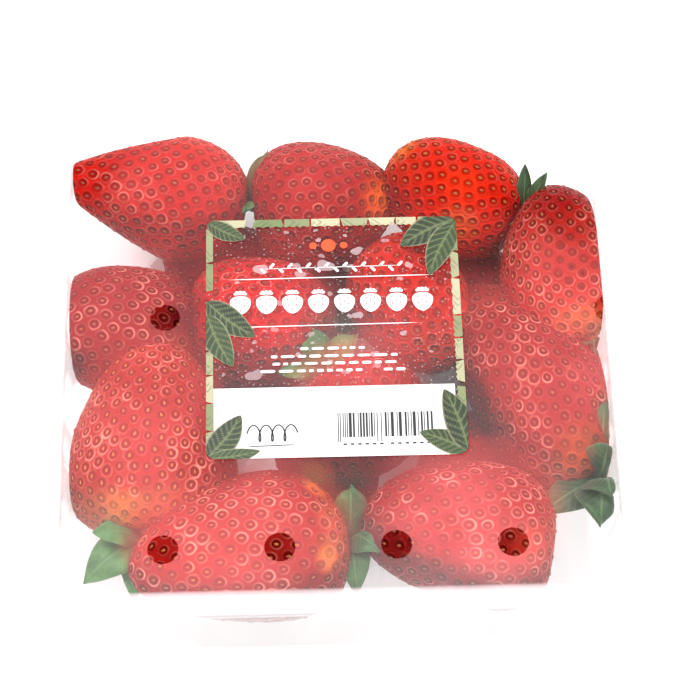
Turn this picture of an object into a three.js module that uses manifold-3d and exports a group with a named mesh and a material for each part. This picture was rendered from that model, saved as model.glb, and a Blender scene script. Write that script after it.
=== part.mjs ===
// Punnet of strawberries: a clear square tray, a sealed film lid with vent holes,
// a clear label on the lid and a heap of twelve large berries with their leaves.
// Millimetres, +Z up, +Y to the back. The origin is the centre of the tray's underside.
import * as THREE from 'three';
import { mergeVertices } from 'three/addons/utils/BufferGeometryUtils.js';
import Module from 'manifold-3d';

const wasm = await Module();
wasm.setup();

// Tray
const baseHalf = 70.5; // half width inside, at the floor
const mouthHalf = 73; // half width inside, at the mouth
const mouthHeight = 46; // height at which the mouth width is measured
const insideRadius = 13; // corner radius inside
const wallThickness = 0.7;
const floorThickness = 0.9;
const flangeHalf = 80;
const flangeRadius = 20;
const flangeTop = 45.5;
const flangeThickness = 0.8;
const lipDrop = 2.4; // the flange's edge turns down this far
const lipThickness = 0.8;
const footChamfer = 1.5;
const fluteCount = 6; // on each wall
const flutePitch = 18;
const fluteWidth = 9;
const fluteFlat = 4.4;
const fluteDepth = 1.5;
const fluteStart = 7;
const fluteEnd = 40;
const panelHalf = 56; // the raised middle of the floor
const panelTop = 2.8;
const drainSlots = 8;
const drainRing = 34; // radius of the ring of slots
const drainLength = 12;
const drainWidth = 3;

// Lid film and label
const nodeGap = 0.3;
const filmThickness = 0.3;
const filmInset = 0.6; // from the flange's outer edge
const ventRadius = 4;
const vents = [[-46, -61], [-16, -61], [14, -61], [44, -61], [-46, 7], [74, 7]];
const labelWidth = 69.5;
const labelLength = 73.5;
const labelCentre = [-0.5, 0.5];
const labelRadius = 3;
const labelThickness = 0.3;

// Room for the berries
const berryFloor = 3.1;
const berryCeiling = 45.4;
const berryWallGap = 0.5;
const leafThickness = 0.9;

// Steps in curves
const arcSteps = 5; // in each rounded corner of a plate
const cornerSteps = 4; // in each corner of the walls
const slotSteps = 2;
const berrySides = 16;
const berrySteps = 12;
const lowBerrySides = 10;
const lowBerrySteps = 8;
const leafRows = 6;
const leafColumns = 2;

// Each berry runs from the middle of its leaves to its tip. wide and deep are half sizes across
// it, shoulder is where it is widest as a share of its length, cone and blunt shape the taper.
const berries = [
  { leaves: [-23.5, 54.4, 24], tip: [-80, 57, 40], wide: 17.7, deep: 17,
    shoulder: 0.36, cone: 1.12, blunt: 0.82, bend: -1, lump: 0.3 },
  { leaves: [-24.2, 53.8, 25], tip: [19.3, 56.4, 28], wide: 19.8, deep: 17.5,
    shoulder: 0.4, cone: 1.8, blunt: 0.6, bend: 2, lump: 1.3 },
  { leaves: [54.1, 44.6, 28], tip: [15.8, 62.6, 31], wide: 15.8, deep: 16,
    shoulder: 0.42, cone: 2.6, blunt: 0.44, bend: 0, lump: 2.1 },
  { leaves: [71.5, 2, 32], tip: [61.5, 53, 34], wide: 18.8, deep: 17,
    shoulder: 0.34, cone: 1.9, blunt: 0.54, bend: -2, lump: 0.9 },
  { leaves: [-36, 13, 18], tip: [-80, 14.5, 33], wide: 19.4, deep: 18,
    shoulder: 0.42, cone: 2.4, blunt: 0.5, bend: 0, lump: 3 },
  { leaves: [-52, -48.9, 23], tip: [-49, 8.3, 33], wide: 23.5, deep: 21,
    shoulder: 0.32, cone: 1.42, blunt: 0.56, bend: 0, lump: 0.2 },
  { leaves: [2.5, -49.5, 23], tip: [-56, -61, 31], wide: 20, deep: 19.5,
    shoulder: 0.34, cone: 1.8, blunt: 0.55, bend: 2.5, lump: 1.9 },
  { leaves: [58, -55, 24], tip: [5, -46, 28], wide: 19.6, deep: 19,
    shoulder: 0.34, cone: 2.1, blunt: 0.52, bend: 2, lump: 2.6 },
  { leaves: [71.3, -36, 26], tip: [35.7, 25.1, 27], wide: 20.4, deep: 18,
    shoulder: 0.34, cone: 1.9, blunt: 0.58, bend: 1, lump: 4 },
  { leaves: [-42, 13.5, 26], tip: [1, 17.5, 25], wide: 20.3, deep: 18,
    shoulder: 0.42, cone: 2.2, blunt: 0.52, bend: 0, lump: 5 },
  { leaves: [12, 38.5, 25], tip: [32.5, 1, 28], wide: 16.5, deep: 18,
    shoulder: 0.4, cone: 2.1, blunt: 0.55, bend: 0, lump: 0.5 },
  { leaves: [-3.5, -1, 25], tip: [15.5, -27.5, 24], wide: 20.5, deep: 16,
    shoulder: 0.4, cone: 2.3, blunt: 0.5, bend: 0, lump: 1.1 },
];

// Small berries low in the gaps, which tie the heap together.
const lowBerries = [
  { leaves: [-13, -9, 13], tip: [8, -34, 12] },
  { leaves: [52, 26, 12], tip: [26, 44, 14] },
  { leaves: [-50, 40, 12], tip: [-16, 46, 14] },
  { leaves: [46, -10, 12], tip: [24, -36, 13] },
  { leaves: [-14, 30, 11], tip: [13, 26, 12] },
];
const lowBerryShape = { wide: 12.5, deep: 9.5, shoulder: 0.42, cone: 2, blunt: 0.55, bend: 0, lump: 0 };

// The leaves that show: berry index, where the tip lies, width, and how far the middle arches up.
const berryLeaves = [
  { berry: 0, tip: [-25, 47.5, 33], width: 7, arch: 4 },
  { berry: 1, tip: [-18, 66, 36], width: 5, arch: 4 },
  { berry: 2, tip: [56, 52, 42], width: 6, arch: 3 },
  { berry: 2, tip: [63, 50, 40], width: 7, arch: 3 },
  { berry: 2, tip: [54, 38, 38], width: 7, arch: 4 },
  { berry: 3, tip: [71.5, 1, 36], width: 8, arch: 4 },
  { berry: 3, tip: [68, -4, 32], width: 8, arch: 4 },
  { berry: 5, tip: [-68, -62, 27], width: 13, arch: 6 },
  { berry: 5, tip: [-55, -66, 24], width: 11, arch: 6 },
  { berry: 5, tip: [-65, -51, 35], width: 8, arch: 4 },
  { berry: 5, tip: [-44, -55, 36], width: 7, arch: 4 },
  { berry: 6, tip: [3, -39, 35], width: 9, arch: 5 },
  { berry: 6, tip: [10, -57, 32], width: 9, arch: 5 },
  { berry: 6, tip: [4, -66, 24], width: 9, arch: 5 },
  { berry: 8, tip: [74, -20, 44], width: 11, arch: 4 },
  { berry: 8, tip: [74, -47, 42], width: 13, arch: 6 },
  { berry: 8, tip: [68, -53, 36], width: 14, arch: 7 },
  { berry: 8, tip: [53, -47, 32], width: 11, arch: 4 },
  { berry: 8, tip: [74, -33, 45], width: 12, arch: 4 },
  { berry: 11, tip: [-16, -3, 31], width: 8, arch: 4 },
  { berry: 11, tip: [-7, 8, 36], width: 9, arch: 4 },
  { berry: 11, tip: [6, 6, 36], width: 8, arch: 4 },
];

const up = new THREE.Vector3(0, 0, 1);
const vector = (numbers) => new THREE.Vector3(...numbers);
const clamp = THREE.MathUtils.clamp;

// Half width inside the tray at a height.
function insideHalf(height) {
  return baseHalf + (mouthHalf - baseHalf) * height / mouthHeight;
}

// A closed solid from a flat list of corner numbers and triangles.
function solidFrom(positions, triangles) {
  return new wasm.Manifold(new wasm.Mesh({
    numProp: 3,
    vertProperties: new Float32Array(positions),
    triVerts: new Uint32Array(triangles),
  }));
}

// A closed solid from one of the library's geometries.
function solidFromGeometry(geometry) {
  geometry.deleteAttribute('normal');
  geometry.deleteAttribute('uv');
  const merged = mergeVertices(geometry);
  return solidFrom(merged.attributes.position.array, merged.index.array);
}

function geometryFrom(solid) {
  const shape = solid.getMesh();
  const geometry = new THREE.BufferGeometry();
  geometry.setAttribute('position', new THREE.BufferAttribute(shape.vertProperties, 3));
  geometry.setIndex(new THREE.BufferAttribute(shape.triVerts, 1));
  return geometry;
}

function meshFrom(name, solid, material) {
  const geometry = geometryFrom(solid);
  geometry.computeVertexNormals();
  const mesh = new THREE.Mesh(geometry, material);
  mesh.name = name;
  return mesh;
}

// A rounded square as a drawing, anticlockwise.
function roundedRectangle(width, length, radius) {
  const x = width / 2;
  const y = length / 2;
  const shape = new THREE.Shape();
  shape.moveTo(radius - x, -y);
  shape.lineTo(x - radius, -y);
  shape.absarc(x - radius, radius - y, radius, -Math.PI / 2, 0);
  shape.lineTo(x, y - radius);
  shape.absarc(x - radius, y - radius, radius, 0, Math.PI / 2);
  shape.lineTo(radius - x, y);
  shape.absarc(radius - x, y - radius, radius, Math.PI / 2, Math.PI);
  shape.lineTo(-x, radius - y);
  shape.absarc(radius - x, radius - y, radius, Math.PI, 1.5 * Math.PI);
  return shape;
}

// A flat plate of a drawing's outline, from one height to another.
function plate(shape, bottom, top) {
  const depth = top - bottom;
  const geometry = new THREE.ExtrudeGeometry(shape, { depth, bevelEnabled: false, curveSegments: arcSteps });
  geometry.translate(0, 0, bottom);
  return solidFromGeometry(geometry);
}

// One wall's points and its corner, for the wall that faces -Y: upright flutes stand out by depth.
function fluteAndCorner(half, radius, depth) {
  const points = [];
  for (let i = 0; i < fluteCount; i += 1) {
    const middle = (i - (fluteCount - 1) / 2) * flutePitch;
    points.push([middle - fluteWidth / 2, -half], [middle - fluteFlat / 2, -half - depth]);
    points.push([middle + fluteFlat / 2, -half - depth], [middle + fluteWidth / 2, -half]);
  }
  for (let i = 0; i <= cornerSteps; i += 1) {
    const angle = -Math.PI / 2 + (Math.PI / 2) * i / cornerSteps;
    points.push([half - radius + radius * Math.cos(angle), radius - half + radius * Math.sin(angle)]);
  }
  return points;
}

// The tray's outline at one level: the same wall and corner turned four times.
function trayOutline(half, radius, depth) {
  const side = fluteAndCorner(half, radius, depth);
  const outline = [];
  for (let turn = 0; turn < 4; turn += 1) {
    const cos = Math.round(Math.cos(turn * Math.PI / 2));
    const sin = Math.round(Math.sin(turn * Math.PI / 2));
    side.forEach(([x, y]) => outline.push([x * cos - y * sin, x * sin + y * cos]));
  }
  return outline;
}

// A solid through a stack of outlines with the same number of points.
function loft(levels) {
  const outlines = levels.map((level) => trayOutline(level.half, level.radius, level.depth));
  const count = outlines[0].length;
  const positions = [];
  outlines.forEach((outline, i) => outline.forEach(([x, y]) => positions.push(x, y, levels[i].height)));
  const bottomCentre = positions.length / 3;
  positions.push(0, 0, levels[0].height);
  const topCentre = bottomCentre + 1;
  positions.push(0, 0, levels[levels.length - 1].height);
  const triangles = [];
  const lastRing = (levels.length - 1) * count;
  for (let j = 0; j < count; j += 1) {
    const next = (j + 1) % count;
    for (let i = 0; i + 1 < levels.length; i += 1) {
      const low = i * count;
      const high = low + count;
      triangles.push(low + j, low + next, high + next, low + j, high + next, high + j);
    }
    triangles.push(bottomCentre, next, j, topCentre, lastRing + j, lastRing + next);
  }
  return solidFrom(positions, triangles);
}

// The walls' outer or inner surface as a solid, grown outwards by an amount.
function trayBody(grow, bottom, top) {
  const level = (height, depth, inset = 0) => ({
    height,
    half: insideHalf(height) + grow - inset,
    radius: insideRadius + grow - inset,
    depth,
  });
  return loft([
    level(bottom, 0, footChamfer),
    level(bottom + footChamfer, 0),
    level(fluteStart, fluteDepth),
    level(fluteEnd, fluteDepth),
    level(top, 0),
  ]);
}

// The slots in the floor's raised middle, each pointing at its centre.
function drains() {
  let cuts = null;
  for (let i = 0; i < drainSlots; i += 1) {
    const angle = (i + 0.5) * 2 * Math.PI / drainSlots;
    const slot = roundedRectangle(drainLength, drainWidth, drainWidth / 2 - 0.01);
    const settings = { depth: 2 * panelTop, bevelEnabled: false, curveSegments: slotSteps };
    const geometry = new THREE.ExtrudeGeometry(slot, settings);
    geometry.rotateZ(angle);
    geometry.translate(drainRing * Math.cos(angle), drainRing * Math.sin(angle), -panelTop / 2);
    const cut = solidFromGeometry(geometry);
    cuts = cuts ? cuts.add(cut) : cut;
  }
  return cuts;
}

function makeTray() {
  const outer = trayBody(wallThickness, 0, flangeTop - flangeThickness / 2);
  const inner = trayBody(0, floorThickness, mouthHeight + 1);
  const flangeOutline = roundedRectangle(2 * flangeHalf, 2 * flangeHalf, flangeRadius);
  const flange = plate(flangeOutline, flangeTop - flangeThickness, flangeTop);
  const lipTop = flangeTop - flangeThickness / 2;
  const lipBottom = flangeTop - flangeThickness - lipDrop;
  const lipWidth = 2 * (flangeHalf - lipThickness);
  const lipOutline = roundedRectangle(lipWidth, lipWidth, flangeRadius - lipThickness);
  const lipHole = plate(lipOutline, lipBottom - 1, lipTop + 1);
  const lip = plate(flangeOutline, lipBottom, lipTop).subtract(lipHole);
  const panelWidth = 2 * panelHalf;
  const panel = plate(roundedRectangle(panelWidth, panelWidth, insideRadius), 0, panelTop);
  const hollowWidth = panelWidth - 2 * floorThickness;
  const hollowOutline = roundedRectangle(hollowWidth, hollowWidth, insideRadius - floorThickness);
  const hollow = plate(hollowOutline, -1, panelTop - floorThickness);
  const shell = outer.add(flange).subtract(inner).add(lip);
  return shell.add(panel).subtract(hollow).subtract(drains());
}

function makeFilm() {
  const width = 2 * (flangeHalf - filmInset);
  const outline = roundedRectangle(width, width, flangeRadius - filmInset);
  vents.forEach(([x, y]) => {
    const hole = new THREE.Path();
    hole.absarc(x, y, ventRadius, 0, 2 * Math.PI, true);
    outline.holes.push(hole);
  });
  const bottom = flangeTop + nodeGap;
  return plate(outline, bottom, bottom + filmThickness);
}

function makeLabel() {
  const bottom = flangeTop + nodeGap + filmThickness + nodeGap;
  const outline = roundedRectangle(labelWidth, labelLength, labelRadius);
  const solid = plate(outline, bottom, bottom + labelThickness);
  return solid.translate([labelCentre[0], labelCentre[1], 0]);
}

// Moves a point into the tray's room, a margin clear of walls, floor and lid.
function keepInside(point, margin) {
  point.z = clamp(point.z, berryFloor + margin, berryCeiling - margin);
  const half = insideHalf(point.z) - berryWallGap - margin;
  const straight = half - insideRadius;
  const overX = Math.abs(point.x) - straight;
  const overY = Math.abs(point.y) - straight;
  if (overX > 0 && overY > 0) {
    const shrink = Math.min(1, insideRadius / Math.hypot(overX, overY));
    point.x = Math.sign(point.x) * (straight + overX * shrink);
    point.y = Math.sign(point.y) * (straight + overY * shrink);
  }
  point.x = clamp(point.x, -half, half);
  point.y = clamp(point.y, -half, half);
  return point;
}

// How wide a berry is along its length, as a share of its widest: a round shoulder, then a cone.
function berryWidth(along, berry) {
  if (along < berry.shoulder) {
    const back = (berry.shoulder - along) / berry.shoulder;
    return Math.sqrt(1 - back ** 2.3);
  }
  const ahead = (along - berry.shoulder) / (1 - berry.shoulder);
  return (1 - ahead ** berry.cone) ** berry.blunt;
}

// A berry's surface point: along is 0 at the leaves and 1 at the tip, around is an angle.
function berryPoint(berry, along, around) {
  const start = vector(berry.leaves);
  const axis = vector(berry.tip).sub(start);
  const length = axis.length();
  axis.normalize();
  const across = new THREE.Vector3().crossVectors(axis, up).normalize();
  const rise = new THREE.Vector3().crossVectors(across, axis);
  const width = berryWidth(along, berry);
  const twoSided = 0.035 * Math.sin(2 * around + berry.lump) * Math.sin(Math.PI * along);
  const threeSided = 0.03 * Math.sin(3 * around + 2.1 * berry.lump) * (0.4 + 0.6 * along);
  const radius = width * (1 + twoSided + threeSided);
  const dent = along < berry.shoulder ? 3 * Math.exp(-((width / 0.35) ** 2)) : 0;
  const side = radius * berry.wide * Math.cos(around) + berry.bend * Math.sin(Math.PI * along);
  const point = start.addScaledVector(axis, along * length + dent);
  point.addScaledVector(across, side);
  point.addScaledVector(rise, radius * berry.deep * Math.sin(around));
  return keepInside(point, 0);
}

// A berry as a closed solid with a ring of sides at each step from the leaves to the tip.
function makeBerry(berry, sides, steps) {
  const positions = [...berryPoint(berry, 0, 0)];
  for (let i = 1; i < steps; i += 1) {
    const along = (1 - Math.cos(Math.PI * i / steps)) / 2;
    for (let j = 0; j < sides; j += 1) {
      positions.push(...berryPoint(berry, along, 2 * Math.PI * j / sides));
    }
  }
  const tip = positions.length / 3;
  positions.push(...berryPoint(berry, 1, 0));
  const triangles = [];
  for (let j = 0; j < sides; j += 1) {
    const next = (j + 1) % sides;
    triangles.push(0, 1 + j, 1 + next);
    for (let i = 0; i + 2 < steps; i += 1) {
      const near = 1 + i * sides;
      const far = near + sides;
      triangles.push(near + j, far + j, near + next, near + next, far + j, far + next);
    }
    const last = tip - sides;
    triangles.push(last + j, tip, last + next);
  }
  return solidFrom(positions, triangles);
}

// Half width of a leaf along its length: narrow at the stalk, widest near a third, pointed.
function leafHalfWidth(along, width) {
  return width / 2 * Math.sin(Math.PI * (0.1 + 0.9 * along ** 0.85)) ** 0.8 + 0.2;
}

// A leaf arches from the middle of its berry's leaves to its tip. It is cupped and a little wavy,
// and both faces are the same grid, one half thickness to each side of the middle surface.
function makeLeaf(leaf) {
  const rows = leafRows;
  const columns = leafColumns;
  const start = keepInside(vector(berries[leaf.berry].leaves), 2 * leafThickness);
  const end = keepInside(vector(leaf.tip), 2 * leafThickness);
  const middle = start.clone().lerp(end, 0.5).addScaledVector(up, 2 * leaf.arch);
  const path = new THREE.QuadraticBezierCurve3(start, middle, end);
  const faces = [[], []];
  for (let i = 0; i <= rows; i += 1) {
    const along = i / rows;
    const forward = path.getTangent(along);
    const sideways = new THREE.Vector3().crossVectors(forward, up).normalize();
    const outward = new THREE.Vector3().crossVectors(sideways, forward);
    for (let j = 0; j <= columns; j += 1) {
      const across = 2 * j / columns - 1;
      const cup = 0.12 * leaf.width * across * across;
      const wave = 0.5 * Math.sin(2 * Math.PI * along + 2 * across);
      const point = path.getPoint(along);
      point.addScaledVector(sideways, across * leafHalfWidth(along, leaf.width));
      point.addScaledVector(outward, wave - cup);
      keepInside(point, leafThickness);
      faces[0].push(...point.clone().addScaledVector(outward, leafThickness / 2));
      faces[1].push(...point.clone().addScaledVector(outward, -leafThickness / 2));
    }
  }
  const width = columns + 1;
  const under = (rows + 1) * width;
  const triangles = [];
  for (let i = 0; i < rows; i += 1) {
    for (let j = 0; j < columns; j += 1) {
      const a = i * width + j;
      const b = a + 1;
      const c = a + width;
      const d = c + 1;
      triangles.push(a, b, c, b, d, c);
      triangles.push(under + a, under + c, under + b, under + b, under + c, under + d);
    }
  }
  const rim = [];
  for (let j = 0; j < columns; j += 1) rim.push(j);
  for (let i = 0; i < rows; i += 1) rim.push(i * width + columns);
  for (let j = columns; j > 0; j -= 1) rim.push(rows * width + j);
  for (let i = rows; i > 0; i -= 1) rim.push(i * width);
  rim.forEach((a, k) => {
    const b = rim[(k + 1) % rim.length];
    triangles.push(a, under + b, b, a, under + a, under + b);
  });
  return solidFrom([...faces[0], ...faces[1]], triangles);
}

// The largest closed surface of a solid, so hollows that are shut in are filled.
function filled(solid) {
  const bodies = solid.decompose();
  return bodies.reduce((largest, body) => (body.volume() > largest.volume() ? body : largest));
}

// The whole heap as one solid. It is filled again once its corners are merged.
function makeHeap() {
  const pieces = berries.map((berry) => makeBerry(berry, berrySides, berrySteps));
  lowBerries.forEach((place) => {
    pieces.push(makeBerry({ ...lowBerryShape, ...place }, lowBerrySides, lowBerrySteps));
  });
  berryLeaves.forEach((leaf) => pieces.push(makeLeaf(leaf)));
  const heap = pieces.reduce((whole, piece) => whole.add(piece));
  return filled(solidFromGeometry(geometryFrom(filled(heap))));
}

const clearPlastic = new THREE.MeshStandardMaterial({
  color: 0xf2f5f6, roughness: 0.08, metalness: 0, transparent: true, opacity: 0.3,
});
const filmPlastic = new THREE.MeshStandardMaterial({
  color: 0xf6f0f0, roughness: 0.2, metalness: 0, transparent: true, opacity: 0.3,
});
const labelPrint = new THREE.MeshStandardMaterial({ color: 0xfafafa, roughness: 0.35, metalness: 0 });
const berryRed = new THREE.MeshStandardMaterial({ color: 0xd8382c, roughness: 0.35, metalness: 0 });

const punnet = new THREE.Group();
punnet.add(meshFrom('tray', makeTray(), clearPlastic));
punnet.add(meshFrom('film', makeFilm(), filmPlastic));
punnet.add(meshFrom('label', makeLabel(), labelPrint));
punnet.add(meshFrom('berries', makeHeap(), berryRed));

export default punnet;
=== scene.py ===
# Punnet of strawberries: a clear square tray, a misted film lid with vent holes, a clear label
# and a heap of twelve large and five small berries with their seeds and leaves.
import bpy
import numpy as np
from mathutils import Matrix, Vector
from mathutils.geometry import delaunay_2d_cdt


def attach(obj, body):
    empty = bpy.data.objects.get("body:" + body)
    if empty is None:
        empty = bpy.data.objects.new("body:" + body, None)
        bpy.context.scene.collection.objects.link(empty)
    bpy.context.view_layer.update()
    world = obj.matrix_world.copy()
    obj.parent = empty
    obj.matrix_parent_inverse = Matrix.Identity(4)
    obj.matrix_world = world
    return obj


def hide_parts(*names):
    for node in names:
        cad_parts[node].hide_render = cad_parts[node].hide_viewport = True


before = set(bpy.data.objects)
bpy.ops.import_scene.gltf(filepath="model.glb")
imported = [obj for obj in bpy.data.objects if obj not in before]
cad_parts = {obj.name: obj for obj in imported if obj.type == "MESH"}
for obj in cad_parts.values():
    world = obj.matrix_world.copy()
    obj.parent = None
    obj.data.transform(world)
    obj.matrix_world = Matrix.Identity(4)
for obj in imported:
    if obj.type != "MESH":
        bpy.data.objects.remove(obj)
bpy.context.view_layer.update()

mm = 0.001
pi = np.pi


# Small helpers for numbers and meshes
def unit(v):
    return v / np.maximum(np.linalg.norm(v, axis=-1, keepdims=True), 1e-12)


def smooth(x, low, high):  # 0 below low, 1 above high, an S between
    t = np.clip((x - low) / (high - low), 0, 1)
    return t * t * (3 - 2 * t)


def linear(rgb):  # a screen colour, 0 to 255, as linear light
    c = np.asarray(rgb, float) / 255
    return np.where(c <= 0.04045, c / 12.92, ((c + 0.055) / 1.055) ** 2.4)


def leftOf(run):  # a flat direction turned a quarter to the left
    return np.array([-run[1], run[0]])


def softMin(x, limit, blend=0.8):  # x, bending over to stay under limit
    return x - blend * np.logaddexp(0, (x - limit) / blend)


# Quads of a grid of rows by columns, wrapping in the columns where closed
def gridQuads(rows, columns, closed=False, start=0):
    i = np.arange(rows - 1)[:, None]
    j = np.arange(columns if closed else columns - 1)[None]
    k = (j + 1) % columns
    here, below = i * columns, (i + 1) * columns
    return np.stack([here + j, here + k, below + k, below + j], -1).reshape(-1, 4) + start


# Faces of a grid closed round its sides, with one point more at each end: quads between the
# rings, and a fan of triangles round each end point
def cappedFaces(rings, sides):
    j = np.arange(sides)
    k = (j + 1) % sides
    last = 1 + (rings - 1) * sides
    first, end = np.zeros_like(j), np.full_like(j, last + sides)
    fans = [np.stack([k + 1, j + 1, first], -1), np.stack([last + k, end, last + j], -1)]
    return gridQuads(rings, sides, closed=True, start=1), np.concatenate(fans)


# A quarter of an outline, turned to all four sides
def fourSides(quarter):
    turned = [quarter]
    for _ in range(3):
        quarter = np.stack([-quarter[..., 1], quarter[..., 0]], -1)
        turned.append(quarter)
    return np.concatenate(turned, -2)


# A mesh object from points in millimetres, quads and triangles, and values on its points
def addPiece(name, points, quads=None, tris=None, values=None, material=None, slot=None, node=None,
             flat=False):
    quads = np.zeros((0, 4), int) if quads is None else np.asarray(quads)
    tris = np.zeros((0, 3), int) if tris is None else np.asarray(tris)
    mesh = bpy.data.meshes.new(name)
    mesh.vertices.add(len(points))
    mesh.vertices.foreach_set("co", (np.asarray(points, float) * mm).ravel())
    corners = np.concatenate([quads.ravel(), tris.ravel()])
    starts = np.concatenate([np.arange(len(quads)) * 4, len(quads) * 4 + np.arange(len(tris)) * 3])
    mesh.loops.add(len(corners))
    mesh.loops.foreach_set("vertex_index", corners)
    mesh.polygons.add(len(starts))
    mesh.polygons.foreach_set("loop_start", starts)
    mesh.update(calc_edges=True)
    mesh.validate()
    mesh.polygons.foreach_set("use_smooth", np.full(len(mesh.polygons), not flat))
    for key, data in (values or {}).items():
        data = np.asarray(data, float)
        if data.ndim == 1:
            mesh.attributes.new(key, "FLOAT", "POINT").data.foreach_set("value", data)
        else:
            full = np.concatenate([data, np.ones((len(data), 1))], 1)
            mesh.attributes.new(key, "FLOAT_COLOR", "POINT").data.foreach_set("color", full.ravel())
    piece = bpy.data.objects.new(name, mesh)
    bpy.context.scene.collection.objects.link(piece)
    if material:
        mesh.materials.append(material)
    if slot:
        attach(piece, "root")
    if node:
        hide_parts(node)
    return piece


# A socket with arithmetic: each operator adds a Math node
class Value:
    def __init__(self, paint, socket):
        self.paint, self.socket = paint, socket

    def math(self, kind, a, b):
        return self.paint.node("Math", {"operation": kind}, {0: a, 1: b}).out()

    def __add__(self, other):
        return self.math("ADD", self, other)

    def __radd__(self, other):
        return self.math("ADD", other, self)

    def __sub__(self, other):
        return self.math("SUBTRACT", self, other)

    def __rsub__(self, other):
        return self.math("SUBTRACT", other, self)

    def __mul__(self, other):
        return self.math("MULTIPLY", self, other)

    def __rmul__(self, other):
        return self.math("MULTIPLY", other, self)

    def __pow__(self, other):
        return self.math("POWER", self, other)

    def lower(self, other):
        return self.math("MINIMUM", self, other)

    def upper(self, other):
        return self.math("MAXIMUM", self, other)

    def size(self):
        return self.math("ABSOLUTE", self, 0.0)

    def fraction(self):
        return self.math("FRACT", self, 0.0)


# A node that was just added, and how to read its outputs
class Made:
    def __init__(self, paint, node):
        self.paint, self.node = paint, node

    def out(self, key=0):
        return Value(self.paint, self.node.outputs[key])


# A material under construction: node() adds any node, the other calls are shortcuts
class Paint:
    def __init__(self, name):
        self.material = bpy.data.materials.new(name)
        self.material.use_nodes = True
        self.tree = self.material.node_tree
        self.tree.nodes.clear()

    def node(self, kind, settings=None, sockets=None):
        node = self.tree.nodes.new("ShaderNode" + kind)
        for key, setting in (settings or {}).items():
            setattr(node, key, setting)
        for key, value in (sockets or {}).items():
            socket = node.inputs[key]
            if isinstance(value, Value):
                self.tree.links.new(value.socket, socket)
            else:
                socket.default_value = value
        return Made(self, node)

    def attribute(self, name, colour=False):
        return self.node("Attribute", {"attribute_name": name}).out("Color" if colour else "Fac")

    def place(self):
        return self.node("TexCoord").out("Object")

    def noise(self, scale, detail=2.0, rough=0.5):
        sockets = {"Vector": self.place(), "Scale": scale, "Detail": detail, "Roughness": rough}
        return self.node("TexNoise", {}, sockets).out()

    def step(self, value, low, high):
        settings = {"interpolation_type": "SMOOTHSTEP"}
        return self.node("MapRange", settings, {"Value": value, "From Min": low, "From Max": high}).out()

    def mix(self, amount, first, second, blend="MIX"):  # colours are values or plain red, green, blue
        first, second = (c if isinstance(c, Value) else (*c, 1.0) for c in (first, second))
        settings = {"data_type": "RGBA", "blend_type": blend}
        return self.node("Mix", settings, {0: amount, 6: first, 7: second}).out(2)

    def bump(self, height, distance, strength=1.0):
        return self.node("Bump", {}, {"Height": height, "Distance": distance, "Strength": strength}).out()

    def principled(self, sockets):
        return self.node("BsdfPrincipled", {}, sockets).out()

    def blend(self, amount, first, second):
        return self.node("MixShader", {}, {0: amount, 1: first, 2: second}).out()

    def facing(self):  # 0 where a surface is seen face on, 1 at a glancing angle
        return self.node("LayerWeight", {}, {"Blend": 0.5}).out("Facing")

    # A thin clear sheet with a share of body in it. Its mirror light grows from least, face on, to
    # most at a glancing angle
    def sheet(self, amount, body, least, most, roughness):
        clear = self.node("BsdfTransparent", {}, {"Color": (1, 1, 1, 1)}).out()
        shine = self.node("BsdfGlossy", {}, {"Color": (1, 1, 1, 1), "Roughness": roughness}).out()
        gloss = self.facing() ** 5.0 * (most - least) + least
        return self.finish(self.blend(gloss, self.blend(amount, clear, body), shine))

    def finish(self, surface):
        self.node("OutputMaterial", {}, {"Surface": surface})
        return self.material


# Camera, at the photograph's angle
camera = {
    "eye": (-8.56, -305.4, 607.4),
    "aim": (3.6, -4.1, 46.0),
    "roll": 0.014,  # radians
    "focal": 2378.0,  # in pixels of a picture 700 wide
    "picture": 700,
    "sensor": 36.0,
}


def addCamera(c):
    eye, aim = np.array(c["eye"]), np.array(c["aim"])
    back = unit(eye - aim)
    right = unit(np.cross([0, 0, 1], back))
    up = np.cross(back, right)
    turn = np.cos(c["roll"]), np.sin(c["roll"])
    columns = [turn[0] * right + turn[1] * up, turn[0] * up - turn[1] * right, back]
    data = bpy.data.cameras.new("camera")
    data.sensor_fit = "HORIZONTAL"
    data.sensor_width = c["sensor"]
    data.lens = c["focal"] / c["picture"] * c["sensor"]
    data.clip_start = 0.01
    view = bpy.data.objects.new("camera", data)
    view.matrix_world = Matrix.Translation(Vector(eye * mm)) @ Matrix(np.array(columns).T.tolist()).to_4x4()
    bpy.context.scene.collection.objects.link(view)
    bpy.context.scene.camera = view


addCamera(camera)
print("camera placed")

# Floor and light
studio = {
    "floorSize": 3.0,
    "floorColour": (0.93, 0.93, 0.93),
    "floorLight": 0.5,  # the floor glows as a light table; its glow is off in a square under the pack, as painted shade
    "paintedShadeHalf": 0.05, "lightHalf": 0.064,  # half sizes of the painted shade square: where the glow is still off, and where it is full
    "further": 0.013,  # how far the painted shade square lies towards the back
    "skyColour": (1.0, 1.0, 1.0),
    "sky": 0.8,
    "key": {"at": (-0.38, 0.22, 1.1), "size": 0.5, "power": 8.0},
    "fill": {"at": (0.6, -0.4, 0.9), "size": 0.7, "power": 4.0},
}


def addLight(name, light):
    data = bpy.data.lights.new(name, "AREA")
    data.energy = light["power"]
    data.size = light["size"]
    lamp = bpy.data.objects.new(name, data)
    lamp.location = light["at"]
    lamp.rotation_euler = (Vector((0, 0, 0.03)) - lamp.location).to_track_quat("-Z", "Y").to_euler()
    bpy.context.scene.collection.objects.link(lamp)


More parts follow.
